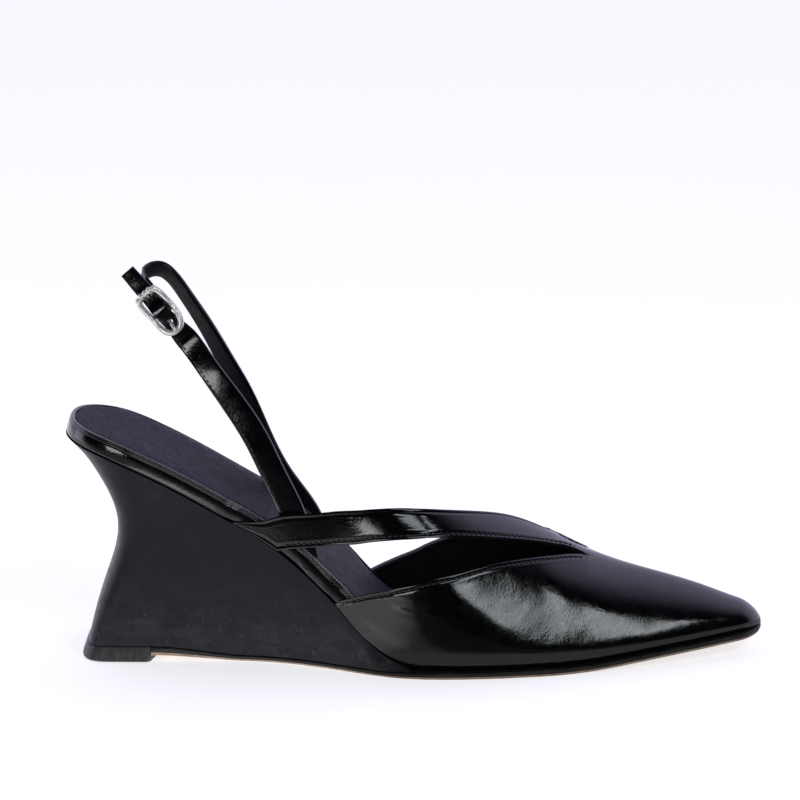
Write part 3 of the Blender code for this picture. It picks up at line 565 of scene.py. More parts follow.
def make_outsole_piece(materials):
    """Dark painted edge; the bevel at the foot of it and the underside are bare tan leather."""
    cut = LIFT_FRONT + GAP / LENGTH
    stations = plan_stations(cut, 1.0, 90, caps=12)
    edge = plan_loop(SOLE_PLAN, stations, cut, 1.0)
    profile = (
        (0.0, SOLE_BEVEL + 0.2 * MM), (0.03, SOLE_BEVEL - 0.3 * MM), (0.40, 0.10 * MM),
        (0.46, 0.0), (0.88, 0.0), (1.0, 0.3 * MM),
    )
    rings = []
    for share, inset in profile:
        ring = []
        for i, (s, y) in enumerate(inset_loop(edge, inset)):
            if i in (1, len(edge) - 1):
                s = cut
            if i == 0:
                s = cut + BREAST_BOW / LENGTH
            ring.append((x_at(s), y, sole_bottom(s) + share * sole_thickness(s)))
        rings.append(ring)
    builder = bmesh.new()
    rows = loft_into(builder, rings, caps=False, paint=lambda k, i: 1 if k < 2 else 0)
    ladder(builder, rows[0], 1)
    ladder(builder, rows[-1])
    return new_piece("sole", "outsole", builder, materials, angle=30)


def make_wedge_piece(materials):
    """Lofted from the sole's outline to the lasting edge, drawn in at the back."""
    top_stations = plan_stations(0.0, WEDGE_FRONT_TOP, 72, heel_square=HEEL_SQUARE, toe=False, caps=24)
    foot_stations = plan_stations(
        LIFT_BACK, WEDGE_FRONT_FOOT, 72, heel_square=LIFT_SQUARE, toe=False, heel_cap=LIFT_CAP, caps=24)
    top = plan_loop(PLAN, top_stations, 0.0, WEDGE_FRONT_TOP)
    foot = inset_loop(plan_loop(SOLE_PLAN, foot_stations, LIFT_BACK, WEDGE_FRONT_FOOT), 0.4 * MM)
    foot = squared_front(foot, WEDGE_FRONT_FOOT)
    levels = 40
    rings = []
    for k in range(levels + 1):
        level = k / levels
        ring = []
        for (s_top, y_top), (s_foot, y_foot) in zip(top, foot):
            x_top, z_top = seat_point(s_top, -GAP)
            on_sole = sole_bottom(s_foot) + sole_thickness(s_foot)
            z_foot = GAP + (LIFT_THICKNESS if s_foot < LIFT_FRONT else on_sole)
            near_back = max(1.0 - s_top / 0.30, 0.0) ** 1.5
            waist = WAIST_INSET * WAIST("inset", level) * near_back
            x = x_at(s_foot) + (x_top - x_at(s_foot)) * level + waist
            y = y_foot + (y_top - y_foot) * level ** 1.15
            ring.append((x, y, z_foot + (max(z_top, z_foot + 0.4 * MM) - z_foot) * level))
        rings.append(ring)
    builder = bmesh.new()
    loft_laddered(builder, rings)
    return new_piece("wedge_cover", "wedge", builder, materials)


def footbed_outline():
    end = 1.0 - FOOTBED_SHORT / LENGTH
    return plan_loop(PLAN, plan_stations(0.0, end, 110, heel_square=HEEL_SQUARE, caps=22), 0.0, end)


def rand_inset(s, y):
    """The rand runs almost flush under the upper's wall, which hides it there."""
    share = COVER("lateral" if y <= 0 else "medial", s)
    return 0.8 * MM * share + (FEATHER_TUCK - SIDE_BULGE) * forepart(s)


def make_rand_piece(materials):
    """The wrapped edge, with two bead lines under its upper rim."""
    loop = footbed_outline()
    profile = (
        (0.00, 0.80), (0.03, 0.30), (0.09, 0.05), (0.16, 0.0), (0.45, -0.10), (0.70, 0.0),
        (0.745, 0.06), (0.765, 0.22), (0.785, 0.08), (0.83, 0.02), (0.86, 0.10), (0.88, 0.26), (0.90, 0.14),
        (0.94, 0.16), (0.975, 0.36), (1.00, 0.70), (1.00, 1.20), (0.97, 1.50), (SOCK_RECESS, 1.62),
    )
    rings = []
    for share, inset in profile:
        outline = inset_loop(loop, lambda s, y, inset=inset: inset * MM + rand_inset(s, y))
        rings.append(seat_ring(outline, lambda s, share=share: footbed_depth(s, share)))
    builder = bmesh.new()
    loft_laddered(builder, rings)
    return new_piece("rand", "footbed", builder, materials, angle=60)


def make_sock_piece(materials):
    """The sock lining: soft at its edge, with a shallow dish for the heel."""
    loop = footbed_outline()
    rings = []
    for rise, inset in ((0.20, 0.45), (0.55, 0.45), (0.78, 0.63), (0.88, 0.95)):
        outline = inset_loop(loop, lambda s, y, inset=inset: RIM_WIDTH + inset * MM + footbed_inset(s, y))
        rings.append(seat_ring(outline, lambda s, rise=rise: footbed_depth(s, SOCK_RECESS) + rise * MM))
    builder = bmesh.new()
    rows = loft_into(builder, rings, caps=False)
    ladder(builder, rows[0])
    steps = 10
    count = len(loop)
    half = count // 2
    verts = []
    for i in range(half + 1):
        lateral, medial = outline[i], outline[(count - i) % count]
        line = []
        for j in range(steps + 1):
            t = j / steps
            if j == steps:
                line.append(rows[-1][(count - i) % count])
            elif j == 0 or i in (0, half):
                line.append(rows[-1][i])
            else:
                s = lateral[0] + (medial[0] - lateral[0]) * t
                y = lateral[1] + (medial[1] - lateral[1]) * t
                dish = -0.35 * math.sin(math.pi * t) * math.exp(-((s - 0.09) / 0.09) ** 2)
                depth = footbed_depth(s, SOCK_RECESS) + (rise + dish) * MM
                x, z = seat_point(min(max(s, 0.0), 1.0), depth)
                line.append(builder.verts.new((x, y, z)))
        verts.append(line)
    for low, high in zip(verts, verts[1:]):
        for j in range(steps):
            corners = list(dict.fromkeys((low[j], low[j + 1], high[j + 1], high[j])))
            if len(corners) > 2:
                builder.faces.new(corners)
    return new_piece("sock_lining", "sock", builder, materials, angle=60)


# The upper

def girth_length(s, girth):
    """Millimetres of skin for one whole share of girth, at a place on the last."""
    step = 0.004
    low, high = max(girth - step, 0.0), min(girth + step, 1.0)
    return max((last_point(s, high) - last_point(s, low)).length / (high - low), 1.0 * MM)


def skin_normal(s, girth):
    step = 0.003
    along = last_point(min(s + step, 0.999), girth) - last_point(s - step, girth)
    across = last_point(s, min(girth + step, 1.0)) - last_point(s, max(girth - step, 0.0))
    return along.cross(across).normalized()


def soft(value, start, end):
    t = min(max((value - start) / (end - start), 0.0), 1.0)
    return t * t * (3 - 2 * t)


def ridge_line(point, start, end, width, depth):
    """A soft trough or ridge along a line in side view: its push along the skin's normal."""
    a, b = Vector((start[0] * MM, start[1] * MM)), Vector((end[0] * MM, end[1] * MM))
    p = Vector((point.x, point.z))
    t = min(max((p - a).dot(b - a) / (b - a).length_squared, 0.0), 1.0)
    away = (p - a - (b - a) * t).length / (width * MM)
    fade = math.sin(math.pi * min(max(t * 0.92 + 0.04, 0.0), 1.0)) ** 0.6
    return depth * MM * fade * math.exp(-away * away)


# Soft troughs and ridges over the vamp's side: start, end, width and depth, in millimetres
CREASES = (
    ((-22, 24), (4, 8), 5.0, -0.50),
    ((-27, 20), (-2, 5), 3.5, 0.28),
    ((2, 31), (22, 20), 5.0, -0.20),
    ((34, 40), (48, 26), 3.2, -0.16),
    ((42, 36), (54, 22), 3.0, 0.12),
    ((-9, 28.5), (4, 26.5), 1.3, 0.16),
    ((-7, 26.2), (6, 24.0), 1.1, -0.17),
    ((-10, 24.6), (2, 21.6), 1.3, 0.15),
    ((-5, 22.0), (7, 20.0), 1.2, -0.14),
    ((1, 28.6), (9, 24.4), 1.2, -0.12),
    ((10, 24.0), (19, 20.5), 1.0, 0.08),
    ((12, 21.6), (20, 18.4), 0.9, -0.09),
)

# How the skin rolls over at an edge: its push outward at a distance from the edge, in millimetres
EDGE_ROLL = (
    (0.0, 0.0), (0.35, 0.08), (0.75, 0.07), (1.1, -0.06), (1.4, -0.20), (1.7, -0.06), (2.2, 0.09), (3.2, 0.0),
)


def end_seam(point):
    """The diagonal seam where the band's end lies on the vamp."""
    a, b = last_point(THROAT_TIP, BAND_END_GIRTH), last_point(LEAF_TIP, VAMP_EDGE("girth", LEAF_TIP))
    run = Vector((b.x - a.x, b.z - a.z))
    reach = Vector((point.x - a.x, point.z - a.z))
    t = reach.dot(run) / run.length_squared
    if not -0.15 < t < 1.0:
        return 0.0
    away = (reach.x * run.y - reach.y * run.x) / run.length / MM
    fade = soft(t, -0.15, 0.05) * (1.0 - soft(t, 0.9, 1.0))
    lip = 0.34 * math.exp(-(away / 2.4) ** 2) if away > 0 else -0.14 * math.exp(-(away / 0.7) ** 2)
    return lip * MM * fade


def shaped_point(s, girth):
    """The skin with its creases, placed on the lateral side and mirrored lightly on the medial."""
    point = last_point(s, girth)
    if s > 0.97:
        return point
    push = 0.0
    for start, end, width, depth in CREASES:
        push += ridge_line(point, start, end, width, depth) * (1.0 if girth < 0.5 else 0.5)
    if girth < 0.56 and abs(s - (THROAT_TIP + LEAF_TIP) / 2) < 0.05:
        push += end_seam(point)
    return point + skin_normal(s, girth) * push


def fine_stations(step):
    fixed = [BAND_UPPER.first[0], BAND_LOWER.first[0], VAMP_EDGE.first[0], FAR_EDGE.first[0],
             THROAT_TIP, LEAF_TIP, 1.0 - TOE_CAP / LENGTH]
    stations = []
    for start, end in zip(fixed, fixed[1:]):
        fine = step * (0.35 if end == LEAF_TIP else 1.0)
        count = max(round((end - start) * LENGTH / fine), 1)
        stations += [start + (end - start) * k / count for k in range(count)]
    caps = 16
    return stations + [
        fixed[-1] + TOE_CAP / LENGTH * math.sin(math.radians(90 * k / caps)) for k in range(caps + 1)]


def rolled_row(s, low, high, count, edges):
    """Points across a strip of the upper, close together along its free edges to carry their roll."""
    span = (high - low) * girth_length(s, (low + high) / 2) / MM
    size = min(0.4 * span / EDGE_ROLL[-1][0], 1.0)
    width = EDGE_ROLL[-1][0] * size / max(span, 1e-6)
    start, stop = (width if edges[0] is not None else 0.0), (1.0 - width if edges[1] is not None else 1.0)
    shares = []
    if edges[0] is not None:
        shares += [(d * size / span, push * size * edges[0]) for d, push in EDGE_ROLL[:-1]]
    shares += [(start + (stop - start) * j / count, 0.0) for j in range(count + 1)]
    if edges[1] is not None:
        shares += [(1.0 - d * size / span, push * size * edges[1]) for d, push in EDGE_ROLL[-2::-1]]
    row = []
    for share, push in shares:
        girth = low + (high - low) * share
        row.append(shaped_point(s, girth) + skin_normal(s, girth) * (push * MM))
    return row


def make_upper_piece(materials):
    builder = bmesh.new()
    for strip, count in enumerate((24, 12, 28)):
        previous = None
        for s in fine_stations(1.5 * MM):
            start, low, high = strip_bounds(s)[strip]
            if s < start - 1e-9:
                continue
            leaf = 1.0 - soft(s, LEAF_TIP - 0.03, LEAF_TIP)
            throat = 1.0 - soft(s, THROAT_TIP - 0.03, THROAT_TIP)
            edges = ((None, leaf), (leaf, throat), (throat, None))[strip]
            closed = high - low < 1e-6
            points = rolled_row(s, low, low + 0.01 if closed else high, count, edges)
            if closed:
                points = [last_point(s, low)] * len(points)
            row = [builder.verts.new(point) for point in points]
            if previous:
                for j in range(len(row) - 1):
                    builder.faces.new((previous[j], previous[j + 1], row[j + 1], row[j]))
            previous = row
    bmesh.ops.remove_doubles(builder, verts=builder.verts, dist=0.01 * MM)
    piece = new_piece("vamp_and_band", "upper", builder, materials, angle=60)
    wall = piece.modifiers.new("wall", "SOLIDIFY")
    wall.thickness = UPPER_WALL
    wall.offset = -1.0
    wall.material_offset = 1
    wall.material_offset_rim = 2
    edge = piece.modifiers.new("edge", "BEVEL")
    edge.width = 0.30 * MM
    edge.segments = 3
    edge.limit_method = "ANGLE"
    edge.angle_limit = math.radians(50)
    return piece


# Stitches

def thread(builder, centre, along, normal, radius):
    """One stitch: a short bowed thread that dips into the leather at both ends."""
    side = normal.cross(along).normalized()
    rings = []
    for t in (-1.0, -0.72, -0.25, 0.25, 0.72, 1.0):
        rise = radius * (0.45 - 1.5 * t ** 4)
        slim = radius * (1.0 - 0.55 * t ** 4)
        middle = centre + along * (t * STITCH_LENGTH / 2) + normal * rise
        rings.append([middle + (side * math.cos(a) + normal * math.sin(a)) * slim
                      for a in (math.tau * j / 7 for j in range(7))])
    loft_into(builder, rings)


def stitch_row(builder, samples, radius):
    """Stitches at an even pitch along a dense row of (point, normal)."""
    travelled, due = 0.0, STITCH_PITCH / 2
    for (a, na), (b, nb) in zip(samples, samples[1:]):
        step = (b - a).length
        while due <= travelled + step:
            t = (due - travelled) / step
            thread(builder, a.lerp(b, t), (b - a).normalized(), na.lerp(nb, t).normalized(), radius)
            due += STITCH_PITCH
        travelled += step


def seam_on_upper(edge, start, end, offset, count=400):
    """Points beside an edge of the upper, at a distance from it towards higher or lower girth."""
    samples = []
    for k in range(count + 1):
        s = start + (end - start) * k / count
        girth = edge("girth", s)
        girth += offset / girth_length(s, girth)
        if 0.002 < girth < 0.998:
            samples.append((shaped_point(s, girth), skin_normal(s, girth)))
    return samples


def make_upper_stitches(materials):
    builder = bmesh.new()
    for edge, start, end, side in (
            (VAMP_EDGE, 0.392, 0.740, -1), (BAND_LOWER, 0.314, 0.728, 1), (FAR_EDGE, 0.411, 0.695, 1)):
        stitch_row(builder, seam_on_upper(edge, start, end, side * STITCH_EDGE), UPPER_THREAD)
    return new_piece("upper_stitches", None, builder, materials)


# Straps and buckle

def strap_rings(path):
    """Rounded eighteen-sided rings along a strap, a little fuller at the middle of its faces."""
    rings = []
    for k, (point, across, width, thick) in enumerate(path):
        ahead = path[min(k + 1, len(path) - 1)][0]
        behind = path[max(k - 1, 0)][0]
        along = (ahead - behind).normalized()
        across = (across - along * across.dot(along)).normalized()
        face = along.cross(across)
        deep = thick / 2
        corner = deep * 0.55
        reach = width / 2 - corner
        ring = []
        for a, b in STRAP_SECTION:
            fuller = 1.0 + STRAP_BULGE * (1.0 - a * a)
            edge = math.copysign(corner, a) * (1.0 - abs(b)) ** 0.5 if abs(a) >= 1.0 else 0.0
            ring.append(point + across * (a * reach + edge) + face * (b * deep * fuller))
        rings.append(ring)
    return rings


STRAP_BULGE = 0.10
STRAP_SECTION = (
    (-1.0, -0.86), (-0.96, -0.98), (-0.80, -1.0), (-0.35, -1.0), (0.35, -1.0), (0.80, -1.0), (0.96, -0.98),
    (1.0, -0.86), (1.0, 0.0), (1.0, 0.86), (0.96, 0.98), (0.80, 1.0), (0.35, 1.0), (-0.35, 1.0), (-0.80, 1.0),
    (-0.96, 0.98), (-1.0, 0.86), (-1.0, 0.0),
)


def cut_away(piece, cutters):
    """Apply cuts by guide solids, which are then gone."""
    for cutter in cutters:
        cut = piece.modifiers.new("cut", "BOOLEAN")
        cut.operation = "DIFFERENCE"
        cut.object = cutter
        cut.solver = "EXACT"
    graph = bpy.context.evaluated_depsgraph_get()
    mesh = bpy.data.meshes.new_from_object(piece.evaluated_get(graph))
    piece.modifiers.clear()
    piece.data = mesh
    soften(mesh, 40)
    for cutter in cutters:
        bpy.data.objects.remove(cutter, do_unlink=True)


def guide(name, builder):
    bmesh.ops.recalc_face_normals(builder, faces=builder.faces)
    return plain_object(name, builder)


def peg(name, place, along, diameter):
    builder = bmesh.new()
    turn = along.to_track_quat("Z", "Y").to_matrix().to_4x4()
    bmesh.ops.create_cone(
        builder, cap_ends=True, segments=32, radius1=diameter / 2, radius2=diameter / 2, depth=PEG_LENGTH,
        matrix=Matrix.Translation(place) @ turn)
    return guide(name, builder)


def seat_guide():
    """All that lies under the top of the footbed, where the straps stand."""
    rings = []
    for k in range(41):
        s = 0.26 + 0.20 * k / 40
        x, z = seat_point(s, footbed_depth(s) + GAP)
        rings.append(((x, -HALF_BALL, 0.0), (x, HALF_BALL, 0.0), (x, HALF_BALL, z), (x, -HALF_BALL, z)))
    builder = bmesh.new()
    loft_into(builder, rings)
    return guide("seat", builder)


def block(name, span, width, heights):
    """A box in the buckle's own directions."""
    back, ahead = span
    half = width / 2
    corners = ((back, -half), (ahead, -half), (ahead, half), (back, half))
    builder = bmesh.new()
    loft_into(builder, [[at_buckle(u, w, v) for u, v in corners] for w in heights])
    return guide(name, builder)


def billet_path(count):
    thin = BILLET_TIP_THICKNESS
    end = BUCKLE_LENGTH / 2
    under = -(BUCKLE_WIRE / 2 * (1 + BUCKLE_BEAD) + GAP + thin / 2)
    points = [route_point(row) for row in BILLET_ROUTE]
    tilts = [row[3] for row in BILLET_ROUTE]
    widths = [STRAP_WIDTH * share for share in (1.05, 1.03, 1.0, 1.0, 0.97, 0.90)]
    thicks = [STRAP_THICKNESS] * 5 + [STRAP_THICKNESS * 0.9]
    for u, w, share in BILLET_THREADING:
        points.append(at_buckle(end * u, under * w))
        tilts.append(BUCKLE_LEAN)
        widths.append(STRAP_WIDTH * share)
        thicks.append(thin)
    return smooth_path(points, tilts, [0] * len(points), widths, thicks, count), end, under


def make_billet_piece(materials):
    path, end, under = billet_path(260)
    builder = bmesh.new()
    loft_into(builder, strap_rings(path))
    piece = new_piece("billet", "billet_strap", builder, materials)
    outward = buckle_frame_axes()[3]
    below_frame = -end - BUCKLE_WIRE / 2 - HOLE_CLEARANCE
    cutters = [seat_guide()]
    for k in range(2):
        place = at_buckle(below_frame - HOLE_PITCH * k, under)
        nearest = min(path, key=lambda station: (station[0] - place).length)[0]
        middle = nearest + outward * (PEG_LENGTH / 2 - HOLE_FLOOR)
        cutters.append(peg(f"hole_{k + 1}", middle, outward, HOLE_DIAMETER))
    cutters.append(peg("prong_hole", at_buckle(-0.55 * end, 0.7 * under), outward, PRONG_WIRE + 0.6 * MM))
    cut_away(piece, cutters)
    return piece


def make_billet_stitches(materials):
    """One row near the strap's lower edge, from the footbed to just under the buckle."""
    path = billet_path(260)[0]
    samples = []
    for k in range(1, 205):
        point, across, width, thick = path[k]
        along = (path[k + 1][0] - path[k - 1][0]).normalized()
        across = (across - along * across.dot(along)).normalized()
        face = along.cross(across)
        if face.y > 0:
            face = -face
        place = point - across * (width / 2 - 1.35 * MM) + face * (thick / 2 * 1.02)
        rim = seat_point(min(max(place.x / LENGTH + 0.5, 0.0), 1.0), FOOTBED_THICKNESS)[1]
        if place.z > rim + 1.5 * MM:
            samples.append((place, face))
    builder = bmesh.new()
    stitch_row(builder, samples, STRAP_THREAD)
    return new_piece("billet_stitches", None, builder, materials)


def sling_path(count):
    thin = FOLD_THICKNESS
    bar = -BUCKLE_DIP - BAR_DROP
    ring = BAR_WIRE / 2 + 1.3 * GAP + thin / 2
    points = [route_point(row) for row in SLING_ROUTE]
    tilts, turns = [row[3] for row in SLING_ROUTE], [row[4] for row in SLING_ROUTE]
    widths = [STRAP_WIDTH * share for share in (1.24, 1.14, 1.03, 0.98, 0.97, 0.97, 0.97, 0.96, 0.94, 0.90)]
    thicks = [STRAP_THICKNESS * share for share in (1, 1, 1, 1, 1, 1, 1, 0.95, 0.85, 0.7)]
    fold = [(u * MM, bar - ring + w * MM, v * MM, tilt, turn) for u, w, v, tilt, turn in SLING_FOLD]
    for degrees in (45, 90, 135):
        a = math.radians(degrees)
        fold.append((-ring * math.sin(a), bar - ring * math.cos(a), 0.0, BUCKLE_LEAN, 0))
    fold += [(u, bar + ring, 0.0, BUCKLE_LEAN, 0) for u in (0.0, 1.0 * MM, 2.0 * MM)]
    for u, w, v, tilt, turn in fold:
        points.append(at_buckle(u, w, v))
        tilts.append(tilt)
        turns.append(turn)
        widths.append(STRAP_WIDTH * 0.72)
        thicks.append(thin)
    return smooth_path(points, tilts, turns, widths, thicks, count), bar


def make_sling_piece(materials):
    """The face towards the foot is lining, the outer face polished leather."""
    path, bar = sling_path(320)
    builder = bmesh.new()
    inner = range(2, 7)
    loft_into(builder, strap_rings(path), paint=lambda k, i: 0 if i in inner else 1)
    piece = new_piece("sling", "sling_strap", builder, materials)
    slot_width = PRONG_WIRE + 2.4 * GAP
    slot = block("prong_slot", (-2.9 * MM, 2.5 * MM), slot_width, (bar - 2.9 * MM, bar + 3.0 * MM))
    cut_away(piece, [seat_guide(), slot])
    return piece


def wire_rings(points, radii, up, sides=16, closed=False):
    """Round rings along a wire."""
    rings = []
    for k, point in enumerate(points):
        ahead = points[(k + 1) % len(points)] if closed else points[min(k + 1, len(points) - 1)]
        behind = points[k - 1] if closed else points[max(k - 1, 0)]
        along = (ahead - behind).normalized()
        first = (up - along * up.dot(along)).normalized()
        second = along.cross(first)
        rings.append([point + (first * math.cos(a) + second * math.sin(a)) * radii[k]
                      for a in (math.tau * j / sides for j in range(sides))])
    return rings


def smooth_wire(points, count):
    even = [1.0] * len(points)
    return [station[0] for station in smooth_path(points, even, even, even, even, count)]


def make_buckle_pieces(materials):
    """The frame with its beaded end, the bar between its sides, and the prong."""
    axis, width, outward = buckle_frame_axes()[1:]
    half_length, half_width = BUCKLE_LENGTH / 2, BUCKLE_WIDTH / 2
    points, radii = [], []
    count = 220
    for k in range(count):
        angle = math.tau * k / count
        side, up = squircle(angle, 2.6 if math.cos(angle) < 0 else 5.0)
        u, v = half_length * side, half_width * up
        dip = -BUCKLE_DIP * max(1.0 - (u / half_length) ** 2, 0.0) ** 3
        points.append(at_buckle(u, dip, v))
        near_end = soft(u, 0.80 * half_length, 0.95 * half_length)
        bead = BUCKLE_BEAD * near_end * (2 * math.cos(v / half_width * math.pi * 2.5) ** 2 - 0.7)
        radii.append(BUCKLE_WIRE / 2 * (0.94 + 0.15 * abs(side) + bead))
    builder = bmesh.new()
    loft_into(builder, wire_rings(points, radii, outward, sides=20, closed=True), closed_along=True)
    new_piece("buckle", "buckle_frame", builder, materials, angle=80)
    bar = -BUCKLE_DIP - BAR_DROP
    leg = half_width - 0.15 * MM
    staple = [(-leg, -BUCKLE_DIP), (-leg, 0.6 * (bar - BUCKLE_DIP)), (-leg + 0.2 * MM, bar + 0.3 * MM),
              (-leg + 0.9 * MM, bar)]
    staple += [(-v, w) for v, w in staple[::-1]]
    smooth = smooth_wire([at_buckle(0.0, w, v) for v, w in staple], 60)
    builder = bmesh.new()
    loft_into(builder, wire_rings(smooth, [BAR_WIRE / 2] * len(smooth), axis))
    new_piece("buckle_bar", None, builder, materials, angle=80)
    hook = BAR_WIRE / 2 + GAP + PRONG_WIRE / 2
    route = [(-hook * math.cos(math.radians(a)), bar + hook * math.sin(math.radians(a)))
             for a in (-150, -110, -70, -20, 20)]
    tip = BUCKLE_WIRE / 2 + GAP + PRONG_WIRE / 2
    route += [(share * half_length, w) for share, w in (
        (-0.36, bar + 0.4 * MM), (-0.46, -2.0 * MM), (-0.56, -0.7 * MM),
        (-0.67, 0.55 * MM), (-0.82, tip * 0.86), (-1.04, tip))]
    smooth = smooth_wire([at_buckle(u, w) for u, w in route], 80)
    last = len(smooth) - 1
    radii = [PRONG_WIRE / 2 * (1.0 - 0.6 * soft(k, last - 8, last) ** 2) for k in range(last + 1)]
    builder = bmesh.new()
    loft_into(builder, wire_rings(smooth, radii, width))
    new_piece("prong", "buckle_prong", builder, materials, angle=80)


# Materials

FLOOR_GLOW = 0.655
FLOOR_CORNERS = ((-2.6, -0.62), (2.6, -0.62), (2.6, 3.2), (-2.6, 3.2))
# A glowing spot on the floor that only reflected rays see: a painted highlight on the vamp's topline.
SPARK_PLACE = (-0.122, -0.170, 0.0)


class Nodes:
    """A small helper around one material's nodes."""

    def __init__(self, name):
        self.material = bpy.data.materials.new(name)
        self.material.use_nodes = True
        self.tree = self.material.node_tree
        self.shader = self.tree.nodes["Principled BSDF"]
        self.coords = self.add("ShaderNodeTexCoord").outputs["Object"]

    def add(self, kind, **values):
        node = self.tree.nodes.new(kind)
        for name, value in values.items():
            setattr(node, name, value)
        return node

    def link(self, source, target):
        self.tree.links.new(source, target)

    def put(self, target, value):
        if hasattr(value, "links"):
            self.link(value, target)
        else:
            target.default_value = value

    def noise(self, scale, detail, rough, stretch=None):
        node = self.add("ShaderNodeTexNoise")
        node.inputs["Scale"].default_value = scale
        node.inputs["Detail"].default_value = detail
        node.inputs["Roughness"].default_value = rough
        source = self.coords
        if stretch:
            mapping = self.add("ShaderNodeMapping")
            mapping.inputs["Scale"].default_value = stretch
            self.link(source, mapping.inputs["Vector"])
            source = mapping.outputs["Vector"]
        self.link(source, node.inputs["Vector"])
        return node.outputs["Fac"]

    def cells(self, scale):
        node = self.add("ShaderNodeTexVoronoi")
        node.inputs["Scale"].default_value = scale
        self.link(self.coords, node.inputs["Vector"])
        return node.outputs["Distance"]

    def ramp(self, value, low, high, to_low=0.0, to_high=1.0):
        node = self.add("ShaderNodeMapRange", interpolation_type="SMOOTHSTEP")
        self.put(node.inputs["Value"], value)
        node.inputs["From Min"].default_value = low
        node.inputs["From Max"].default_value = high
        node.inputs["To Min"].default_value = to_low
        node.inputs["To Max"].default_value = to_high
        return node.outputs["Result"]

    def math(self, operation, a, b):
        node = self.add("ShaderNodeMath", operation=operation)
        self.put(node.inputs[0], a)
        self.put(node.inputs[1], b)
        return node.outputs[0]

    def mix(self, factor, a, b):
        node = self.add("ShaderNodeMix", data_type="RGBA")
        self.put(node.inputs["Factor"], factor)
        self.put(node.inputs[6], (*a, 1.0) if isinstance(a, tuple) else a)
        self.put(node.inputs[7], (*b, 1.0) if isinstance(b, tuple) else b)
        return node.outputs[2]

    def height(self, axis="Z"):
        node = self.add("ShaderNodeSeparateXYZ")
        self.link(self.coords, node.inputs[0])
        return node.outputs[axis]

    def bump(self, height, distance, strength=1.0, before=None):
        node = self.add("ShaderNodeBump")
        node.inputs["Strength"].default_value = strength
        node.inputs["Distance"].default_value = distance
        self.link(height, node.inputs["Height"])
        if before is not None:
            self.link(before, node.inputs["Normal"])
        return node.outputs["Normal"]

    def finish(self, colour, roughness, normal=None, **plain):
        inputs = self.shader.inputs
        self.put(inputs["Base Color"], (*colour, 1.0) if isinstance(colour, tuple) else colour)
        self.put(inputs["Roughness"], roughness)
        if normal is not None:
            self.link(normal, inputs["Normal"])
        for name, value in plain.items():
            inputs[name.replace("_", " ")].default_value = value
        return self.material


def polished_leather():
    """Near black and glossy, with slow waves, fine grain and pores."""
    n = Nodes("polished_leather")
    tone = n.ramp(n.noise(90, 4, 0.6), 0.3, 0.75)
    colour = n.mix(tone, (0.0012, 0.0012, 0.0018), (0.0028, 0.0027, 0.0034))
    rough = n.ramp(n.noise(260, 5, 0.65), 0.35, 0.75, 0.08, 0.20)
    waves = n.bump(n.noise(75, 2, 0.45), 0.9 * MM, 0.35)
    grain = n.bump(n.noise(950, 3, 0.6), 0.035 * MM, 0.8, waves)
    pores = n.bump(n.cells(1500), 0.020 * MM, 0.7, grain)
    return n.finish(colour, rough, pores, Coat_Weight=0.35, Coat_Roughness=0.09, IOR=1.48)


def satin_leather():
    """Blue black and half matt, greyer in patches towards its foot: partly scuff marks, partly a painted
    floor reflection.
    """
    n = Nodes("satin_leather")
    # Painted reflection: near the floor the colour turns grey in patches to stand for the floor's sheen, with
    # scuff marks among them.
    low = n.ramp(n.height(), 0.040, 0.004)
    patch = n.ramp(n.noise(120, 6, 0.72, stretch=(0.7, 1.0, 1.3)), 0.30, 0.80)
    marks = n.ramp(n.noise(420, 5, 0.7, stretch=(1.0, 1.0, 0.6)), 0.56, 0.66)
    mottle = n.math("MULTIPLY", low, n.math("MAXIMUM", patch, marks))
    base = n.mix(n.ramp(n.noise(60, 4, 0.6), 0.3, 0.7), (0.0028, 0.0033, 0.0110), (0.0044, 0.0049, 0.0140))
    colour = n.mix(n.math("MULTIPLY", mottle, 0.62), base, (0.060, 0.053, 0.050))
    rough = n.ramp(n.noise(300, 5, 0.6), 0.3, 0.7, 0.34, 0.46)
    waves = n.bump(n.noise(48, 2, 0.5), 0.8 * MM, 0.3)
    grain = n.bump(n.noise(1300, 4, 0.65), 0.06 * MM, 0.7, waves)
    return n.finish(
        colour, rough, grain, Coat_Weight=0.05, Coat_Roughness=0.25, IOR=1.46, Specular_IOR_Level=0.22)


def lining_leather(name, colour, tint):
    """Soft and matt, with a fine cell grain."""
    n = Nodes(name)
    tone = n.mix(n.ramp(n.noise(140, 5, 0.65), 0.3, 0.75), colour, tint)
    rough = n.ramp(n.noise(500, 4, 0.6), 0.3, 0.7, 0.58, 0.74)
    waves = n.bump(n.noise(70, 3, 0.5), 0.35 * MM, 0.5)
    grain = n.bump(n.cells(1100), 0.07 * MM, 0.8, waves)
    return n.finish(tone, rough, grain, IOR=1.42, Specular_IOR_Level=0.25)


def edge_paint():
    n = Nodes("painted_edge")
    tone = n.mix(n.ramp(n.noise(700, 4, 0.6), 0.3, 0.7), (0.010, 0.010, 0.011), (0.030, 0.029, 0.030))
    rough = n.ramp(n.noise(900, 4, 0.6), 0.3, 0.7, 0.32, 0.5)
    return n.finish(tone, rough, n.bump(n.noise(1600, 3, 0.6), 0.05 * MM, 0.7), IOR=1.45)


def sole_edge():
    n = Nodes("sole_edge")
    layers = n.noise(900, 3, 0.6, stretch=(0.15, 0.15, 1.0))
    tone = n.mix(n.ramp(layers, 0.35, 0.7), (0.009, 0.0085, 0.0085), (0.026, 0.024, 0.023))
    rough = n.ramp(n.noise(500, 4, 0.6), 0.3, 0.7, 0.24, 0.42)
    return n.finish(tone, rough, n.bump(layers, 0.08 * MM, 0.6), IOR=1.46, Specular_IOR_Level=0.35)


